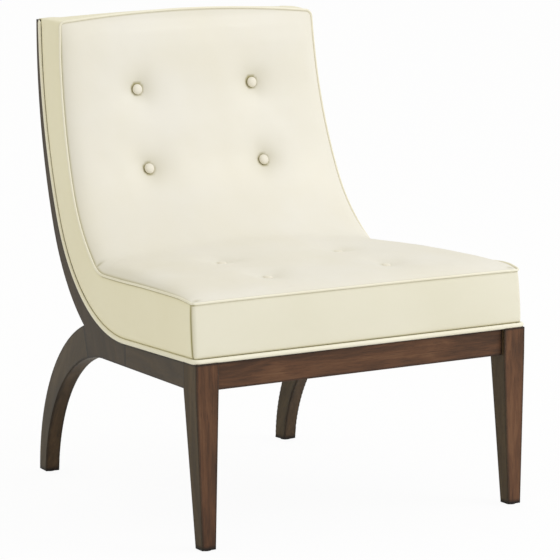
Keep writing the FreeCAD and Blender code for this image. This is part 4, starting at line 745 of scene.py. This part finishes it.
def base_welt():
    """The thick cord round the foot of the shell, thinner up the stiles."""
    corner = 9.0
    top = distance_at_height(BASE, TOP_HEIGHT - 0.5)
    side, radii = [], []
    for distance in np.linspace(corner + WELT_FRONT, top, 220):
        radius = welt_radius(distance)
        radius *= sqrt(max(0.05, 1 - max(0.0, 1 - (top - distance) / 3.0) ** 2))
        _, y, z = off_base(0, BASE.at(distance), radius + 0.15)
        side.append((HALF_WIDTH + 0.7 - y * tan(TAPER), y, z))
        radii.append(radius)
    x, y, z = side[0]
    bend = [(x - corner + corner * cos(turn), y - corner * sin(turn), z) for turn in QUARTER]
    front = [(x, bend[-1][1], z) for x in np.linspace(bend[-1][0], 0, 60)[1:]]
    right = side[::-1] + bend + front
    right_radii = radii[::-1] + [BASE_WELT] * (len(bend) + len(front))
    left = [(-x, y, z) for x, y, z in reversed(right[:-1])]
    return tube("base_welt_cord", [(right + left, right_radii + right_radii[::-1][1:])], 18)


# Half section of a covered button: radius and height, from the dome to the back
BUTTON_PROFILE = [(0.0, 6.8), (2.4, 6.7), (4.8, 6.3), (6.8, 5.6), (8.3, 4.5), (9.2, 3.4), (9.6, 2.3),
                  (9.7, 1.4), (9.3, 0.5), (8.3, 0.0), (4.0, 0.0), (0.0, 0.0)]


def button(name, x, distance):
    """A covered button: a low dome with a tucked rim, seated in its tuft."""
    section = Section(distance)
    sunk = 4.6 if distance < CREASE else 1.0
    seat = to_frame(section.place(x, section.face(x) - tuft_deep(distance) - sunk))
    normal = Vector((0, -sin(section.heading) * cos(TAPER), cos(section.heading))).normalized()
    around = 40
    spots, faces = [Vector((0, 0, BUTTON_PROFILE[0][1]))], []
    for radius, height in BUTTON_PROFILE[1:-1]:
        for step in range(around):
            turn = 2 * pi * step / around
            crimped = radius * (1 + (0.012 * sin(12 * turn) if height < 5 else 0))
            spots.append(Vector((crimped * cos(turn), crimped * sin(turn), height)))
    spots.append(Vector((0, 0, 0)))
    rings = len(BUTTON_PROFILE) - 2
    last = 1 + (rings - 1) * around
    for step in range(around):
        after = (step + 1) % around
        faces.append((0, 1 + step, 1 + after))
        faces.append((last + step, len(spots) - 1, last + after))
        for start in range(1, last, around):
            faces.append((start + step, start + step + around, start + after + around, start + after))
    turn = normal.to_track_quat("Z", "Y").to_matrix().to_4x4()
    place = Matrix.Translation(seat) @ turn @ Matrix.Scale(0.001, 4)
    return solid(name + "_cover", [place @ spot for spot in spots], faces)


# What lies inside and under the chair

def deck_sheet(name, low, high, edge):
    """A felt laid over the shell between two distances along the frame, in shallow waves."""
    def both_sides(share, side):
        station = BASE.at(low + (high - low) * share)
        x = side * (HALF_WIDTH - edge - station[0] * sin(TAPER))
        lift = 28.6 + bumpy(x, *station[:2], 60.0, 4.4) * 0.35
        return off_base(x, station, lift + 2.0), off_base(x, station, lift)
    return sheet(name, 60, 61, both_sides)


def millimetres(node):
    """The box of a solid in the chair's own plan."""
    return [[value * 1000 - HOME[axis] for axis, value in enumerate(corner)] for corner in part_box(node)]


def webbing_strap(node):
    """A woven strap tacked to both shell sides, drawn a little back in the middle, with firm edges."""
    (x0, y0, z0), (x1, y1, z1) = millimetres(node)
    lean = atan2(z1 - z0, y1 - y0)

    def both_sides(share, side):
        x = x0 + 0.3 + (x1 - x0 - 0.6) * share
        y, z = (low + 0.9 + (high - low - 1.8) * (side + 1) / 2 for low, high in ((y0, y1), (z0, z1)))
        thick = 0.95 if abs(side) > 0.75 else 0.7
        lift = 0.10 * cos(pi * 6 * (side + 1)) - 0.8 * (1 - (2 * share - 1) ** 2)
        return [(x, y - off * sin(lean), z + off * cos(lean)) for off in (lift + thick, lift - thick)]
    return sheet(node + "_strap", 61, 13, both_sides)


def dust_sheet():
    """The black cloth tacked up under the seat frame, sagging a little between the rails."""
    (_, y0, z0), (x1, y1, z1) = millimetres("dust_cover")

    def both_sides(share, side):
        x = side * (x1 - (y1 - y0) * share * tan(TAPER) - 0.5)
        y = y0 + 0.5 + (y1 - y0 - 1.0) * share
        pleat = 0.35 * sin(share * 90) * exp(-(1 - abs(side)) * 14) + bumpy(x, y, 0, 70.0, 9.1) * 0.5
        z = z1 - 1.0 - (z1 - z0 - 1.4) * share + pleat * (1 - side ** 8)
        z -= 2.4 * sin(pi * share) ** 0.6 * (1 - side ** 4)
        return (x, y, z), (x, y, z - 0.6)
    return sheet("under_seat_cloth", 41, 51, both_sides)


def twines(name, low, high):
    """Two-ply twine from each button in a range down through the filling to the deck."""
    runs = []
    for _, x, distance in BUTTONS:
        if not low <= distance < high:
            continue
        section = Section(distance)
        top = section.face(x) - tuft_deep(distance) - 1.0
        bottom = 31.5 - section.deep
        for ply in (0.0, pi):
            points = []
            for step in range(49):
                turn = ply + step * 0.9
                place = section.place(x + 0.42 * cos(turn), top + (bottom - top) * step / 48)
                points.append((place[0], place[1] + 0.42 * sin(turn), place[2]))
            runs.append((points, [0.5] * len(points)))
    return tube(name, runs, 8)


# Materials

class Look:
    """The node tree of a material or world, and the steps that its looks are built from."""

    def __init__(self, owner):
        owner.use_nodes = True
        self.owner = owner
        self.nodes, self.links = owner.node_tree.nodes, owner.node_tree.links

    def fill(self, item, values):
        """Set each named input of a node, or join it to the output given for it."""
        for name, value in values.items():
            socket = item.inputs[name]
            if hasattr(value, "is_linked"):
                self.links.new(value, socket)
            else:
                socket.default_value = value + (1,) if socket.type == "RGBA" else value

    def node(self, kind, output, values):
        item = self.nodes.new("ShaderNode" + kind)
        self.fill(item, values)
        return item.outputs[output]

    def surface(self, values):
        self.fill(self.nodes["Principled BSDF"], values)
        return self.owner

    def place(self):
        return self.node("TexCoord", "Object", {})

    def noise(self, place, scale, detail, roughness=0.5, distortion=0.0):
        return self.node("TexNoise", "Fac", {"Vector": place, "Scale": scale, "Detail": detail,
                                             "Roughness": roughness, "Distortion": distortion})

    def calc(self, operation, *values, kind="Math"):
        item = self.nodes.new("ShaderNode" + kind)
        item.operation = operation
        self.fill(item, dict(enumerate(values)))
        return item.outputs["Value"]

    def spread(self, value, low, high, at_low, at_high):
        """The value's range from low to high, mapped to another one."""
        return self.node("MapRange", "Result", {"Value": value, "From Min": low, "From Max": high,
                                                "To Min": at_low, "To Max": at_high})

    def blend(self, factor, first, second):
        item = self.nodes.new("ShaderNodeMix")
        item.data_type = "RGBA"
        self.fill(item, {"Factor": factor, "A": first, "B": second})
        return item.outputs["Result"]

    def ramp(self, source, stops):
        item = self.nodes.new("ShaderNodeValToRGB")
        elements = item.color_ramp.elements
        for index in (0, -1):
            elements[index].position, elements[index].color = stops[index][0], stops[index][1] + (1,)
        for position, colour in stops[1:-1]:
            elements.new(position).color = colour + (1,)
        self.fill(item, {"Fac": source})
        return item.outputs["Color"]

    def bump(self, height, strength, distance):
        return self.node("Bump", "Normal", {"Height": height, "Strength": strength, "Distance": distance})

    def white_out(self, seen_by_light, output, share=1.0):
        """What the camera sees directly is this share of plain white; light sees the real surface."""
        part = self.calc("MULTIPLY", self.node("LightPath", "Is Camera Ray", {}), share)
        white = self.node("Emission", "Emission", {"Color": (1.0, 1.0, 1.0)})
        self.links.new(self.node("MixShader", "Shader", {"Fac": part, 1: seen_by_light, 2: white}), output)


def leather(name, light, dark, seam_shade_tone, grain=900.0):
    """Smooth cream leather: cloudy tone, fine pebbles, and painted shade where the seam attribute says so.
    """
    look = Look(bpy.data.materials.new(name))
    place = look.place()
    seam = look.nodes.new("ShaderNodeAttribute")
    seam.attribute_name = "seam"
    cloud = look.ramp(look.noise(place, 5.0, 4.0), [(0.3, dark), (0.7, light)])
    pebble = look.nodes.new("ShaderNodeTexVoronoi")
    pebble.feature = "SMOOTH_F1"
    look.fill(pebble, {"Scale": grain, "Vector": place})
    fine = look.noise(place, grain * 0.4, 3.0)
    return look.surface({
        "Base Color": look.blend(seam.outputs["Fac"], cloud, seam_shade_tone),
        "Normal": look.bump(look.calc("ADD", pebble.outputs["Distance"], fine), 0.12, 0.0004),
        "Roughness": look.spread(fine, 0.0, 1.0, 0.40, 0.49),
        "Specular IOR Level": 0.45})


# Tones of the stain with painted light and shade: lit on the front faces, redder, and shaded on the side
# faces, greyer
LIT_FRONT_STAIN = [(0.36, (0.052, 0.024, 0.012)), (0.46, (0.084, 0.038, 0.018)), (0.54, (0.114, 0.050, 0.023)),
               (0.68, (0.165, 0.080, 0.038))]
SHADED_SIDE_STAIN = [(0.34, (0.042, 0.028, 0.014)), (0.5, (0.066, 0.045, 0.022)), (0.68, (0.100, 0.070, 0.036))]


def walnut(name, direction, seed=0.0, front_light=1.0, level=1.0, light_gain=1.0):
    """Dark stained walnut, grained along a direction, with painted light and shade: redder and lit on its
    front faces, greyer and shaded on its sides.
    """
    look = Look(bpy.data.materials.new(name))
    place = look.place()
    lay = Vector(direction).normalized().rotation_difference(Vector((0, 0, 1))).to_euler()
    turned = look.node("Mapping", "Vector", {"Vector": place, "Rotation": lay,
                                             "Location": (seed, seed * 1.7, seed * 0.6)})
    wide, long = (look.node("Mapping", "Vector", {"Vector": turned, "Scale": (1.0, 1.0, share)})
                  for share in (0.22, 0.05))
    figure = look.noise(wide, 26.0, 4.0, 0.55, 1.1)
    streak = look.noise(long, 210.0, 6.0, 0.6)
    pores = look.noise(long, 900.0, 2.0)
    grain = look.calc("ADD", look.calc("MULTIPLY", figure, 0.66), look.calc("MULTIPLY", streak, 0.34))
    # Painted light and shade: the lit tone on faces toward the front, the shaded tone on faces toward the
    # sides; the front-light share sets how much the front faces keep the lit tone, and a gain above 1 on
    # both tones is painted light
    front, side = (look.ramp(grain, [(at, tuple(light_gain * part for part in tone)) for at, tone in stops])
                   for stops in (LIT_FRONT_STAIN, SHADED_SIDE_STAIN))
    normal = look.node("NewGeometry", "Normal", {})
    toward = look.calc("ABSOLUTE", look.node("SeparateXYZ", "X", {"Vector": normal}))
    colour = look.blend(look.calc("ADD", look.calc("MULTIPLY", toward, 0.95 * front_light), 1 - front_light), front, side)
    # Pores, painted shade along the edges, painted shade on what stands far back, and darker towards the
    # bottom of each foot
    colour = look.blend(look.spread(pores, 0.36, 0.43, 0.35, 0.0), colour, (0.016, 0.010, 0.007))
    # Painted shade along the edges of each piece
    eased = look.nodes.new("ShaderNodeBevel")
    eased.samples = 6
    look.fill(eased, {"Radius": 0.0075})
    meet = look.calc("DOT_PRODUCT", eased.outputs["Normal"], normal, kind="VectorMath")
    colour = look.blend(look.spread(meet, 0.93, 0.999, 0.94, 0.0), colour, (0.010, 0.008, 0.007))
    # Painted shade: a level below 1 darkens the whole piece
    if level < 1:
        colour = look.blend(1 - level, colour, (0.014, 0.010, 0.009))
    height = look.node("SeparateXYZ", "Z", {"Vector": place})
    colour = look.blend(look.spread(height, 0.005, 0.011, 0.8, 0.0), colour, (0.008, 0.006, 0.005))
    return look.surface({
        "Base Color": colour, "Normal": look.bump(pores, 0.2, 0.0003),
        "Roughness": look.spread(streak, 0.0, 1.0, 0.36, 0.54),
        "Specular IOR Level": 0.22, "Coat Weight": 0.05, "Coat Roughness": 0.3})


def plain(name, colour, roughness, scale, metallic=0.0, amount=0.25):
    """A speckled plain stuff."""
    look = Look(bpy.data.materials.new(name))
    speck = look.noise(look.place(), scale, 4.0)
    low, high = (tuple(channel * level for channel in colour) for level in (1 - amount, 1 + amount))
    return look.surface({
        "Base Color": look.ramp(speck, [(0.3, low), (0.7, high)]), "Normal": look.bump(speck, 0.3, 0.0003),
        "Roughness": roughness, "Metallic": metallic})


# Tones of the painted shade in seams, tufts and tucks
SEAM_SHADE_TONE, CORD_SHADE_TONE = (0.38, 0.34, 0.15), (0.42, 0.34, 0.17)
# One cream leather in lit and shaded copies: the panel yellower and brighter for painted bounce light on the
# shaded sides, the front darker for painted shade on the front boxing, and the welt cord brighter for a
# painted highlight
FACE = leather("cream_face", (0.83, 0.805, 0.725), (0.805, 0.770, 0.655), SEAM_SHADE_TONE)
PANEL = leather("cream_panel", (0.89, 0.85, 0.65), (0.86, 0.815, 0.61), SEAM_SHADE_TONE)
FRONT = leather("cream_front", (0.81, 0.78, 0.64), (0.775, 0.745, 0.595), SEAM_SHADE_TONE)
CORD = leather("cream_welt", (0.88, 0.85, 0.70), (0.85, 0.81, 0.65), CORD_SHADE_TONE, 1100.0)
COVER = leather("cream_button", (0.84, 0.80, 0.69), (0.81, 0.765, 0.64), CORD_SHADE_TONE, 1100.0)
FELT = plain("grey_felt", (0.22, 0.21, 0.19), 0.95, 700.0)
JUTE = plain("jute_webbing", (0.30, 0.21, 0.11), 0.9, 900.0)
BLACK = plain("black_cloth", (0.012, 0.012, 0.012), 0.9, 1200.0)
TWINE = plain("waxed_twine", (0.60, 0.54, 0.42), 0.7, 900.0)


# The pieces that are shown in place of solids

def dress(item, material):
    item.data.materials.clear()
    item.data.materials.append(material)


def add(item, material, slot, *nodes):
    dress(item, material)
    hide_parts(*nodes)
    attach(item, "root")
    return item


cushion = add(sitting_face(), FACE, "face_leather", "seat_leather", "inside_back_leather", "seat_foam",
              "back_foam")
band = add(boxing_band(), PANEL, "panel_leather", "side_boxing_left", "side_boxing_right", "top_boxing")
front_strip = add(front_panel(), FRONT, "panel_leather", "front_boxing")
outside_back = add(back_panel(), PANEL, "panel_leather", "outside_back_leather")
add(panel_welt(), CORD, "welt_leather", "panel_welt")
add(front_welt(), CORD, "welt_leather", "front_seam_welt")
add(base_welt(), CORD, "welt_leather", "base_welt")
for name, x, distance in BUTTONS:
    add(button(name, x, distance), COVER, "button_leather", name)

KNEE = distance_at_depth(41.0 - HOME[1])
seat_felt = add(deck_sheet("seat_deck_pad", 14.0, KNEE, 9.0), FELT, "felt", "seat_deck_felt")
back_felt = add(deck_sheet("back_deck_pad", KNEE + 1.0, distance_at_height(BASE, 830.0), 14.0), FELT, "felt",
                "back_deck_felt")
STRAP_FLATS = [(0.537, 0.047), (0.529, 0.047), (0.523, 0.049), (0.518, 0.049), (0.515, 0.049)]
for index, strap_flat in enumerate(STRAP_FLATS, 1):
    strap = add(webbing_strap(f"back_webbing_{index}"), JUTE, "webbing", f"back_webbing_{index}")
under_cloth = add(dust_sheet(), BLACK, "black_cloth", "dust_cover")
add(twines("seat_button_twines", 0.0, CREASE), TWINE, "twine", "seat_tuft_twines")
add(twines("back_button_twines", CREASE, SEAM_LENGTH), TWINE, "twine", "back_tuft_twines")

# Looks of the solids that stay: the nodes whose names start so
DRESSES = [
    (walnut("walnut_upright", (0, 0, 1)), "front_leg_left"),
    (walnut("walnut_apron", (1, 0, 0), 0.7), "front_apron"),
    # The side rails, stiles and rear legs are darkened with painted shade, and the rear legs keep mostly the
    # shaded side tone on their front faces
    (walnut("walnut_rail", (0, 1, -0.04), 1.3, 0.8, 0.82), "side_rail_"),
    (walnut("walnut_stile", (0, 0.42, 0.9), 1.3, 0.8, 0.62), "back_stile_"),
    (walnut("walnut_rear_leg", (0, 0.5, -0.86), 1.3, 0.3, 0.92), "rear_leg_"),
    # The right front leg's walnut, lightened with painted light
    (walnut("walnut_right_leg", (0, 0, 1), 4.6, 1.0, 1.0, 1.15), "front_leg_right"),
    (walnut("stained_rail", (1, 0, 0), 2.9), "rear_seat_rail"),
    (plain("inner_timber", (0.50, 0.34, 0.19), 0.6, 60.0), ("frame_dowels", "corner_block")),
    (plain("plywood", (0.55, 0.40, 0.24), 0.6, 45.0), "shell_"),
    (plain("spring_steel", (0.42, 0.42, 0.43), 0.35, 300.0, 1.0, 0.1),
     ("seat_spring", "spring_clips", "block_screws")),
    (plain("glide_nylon", (0.03, 0.025, 0.02), 0.5, 500.0), "foot_glides")]
for material, starts in DRESSES:
    for node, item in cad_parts.items():
        if node.startswith(starts):
            dress(item, material)

# Floor, light and camera

scene = bpy.context.scene
floor_mesh = bpy.data.meshes.new("floor")
floor_mesh.from_pydata([(-30, -30, 0), (30, -30, 0), (30, 30, 0), (-30, 30, 0)], [], [(0, 1, 2, 3)])
floor = bpy.data.objects.new("floor", floor_mesh)
scene.collection.objects.link(floor)
ground = Look(bpy.data.materials.new("pale_floor"))
floor_mesh.materials.append(ground.surface({"Base Color": (0.90, 0.90, 0.90), "Roughness": 0.9,
                                            "Specular IOR Level": 0.1}))
ground.white_out(ground.nodes["Principled BSDF"].outputs["BSDF"],
                 ground.nodes["Material Output"].inputs["Surface"], 0.94)

scene.world = bpy.data.worlds.new("studio")
sky = Look(scene.world)
bright_way = Vector((0.72, -0.42, 0.55)).normalized()
glow = sky.calc("DOT_PRODUCT", sky.node("TexCoord", "Generated", {}), bright_way, kind="VectorMath")
sky_tones = sky.ramp(sky.spread(glow, -1.0, 1.0, 0.0, 1.0),
                     [(0.0, (0.92, 0.87, 0.66)), (0.45, (0.85, 0.83, 0.75)), (1.0, (1.12, 1.12, 1.14))])
sky.fill(sky.nodes["Background"], {"Strength": 0.86, "Color": sky_tones})
sky.white_out(sky.nodes["Background"].outputs["Background"], sky.nodes["World Output"].inputs["Surface"])

lamp = bpy.data.lights.new("key", "AREA")
lamp.shape = "RECTANGLE"
lamp.size = lamp.size_y = 2.0
lamp.energy = 60
key_light = bpy.data.objects.new("key", lamp)
key_light.location = (3.0, -2.6, 3.4)
key_light.rotation_euler = (Vector((0, 0, 0.4)) - key_light.location).to_track_quat("-Z", "Y").to_euler()
scene.collection.objects.link(key_light)

# The camera as it was fitted to the photograph
camera_data = bpy.data.cameras.new("camera")
camera_data.lens = 201.97
camera_data.sensor_width = 36.0
camera_data.clip_end = 100.0
camera = bpy.data.objects.new("camera", camera_data)
camera.location = (-2.93845, -4.77937, 1.32675)
camera.rotation_euler = (radians(90 - 9.518), 0, radians(-31.936))
scene.collection.objects.link(camera)
scene.camera = camera
scene.view_settings.view_transform = "Standard"
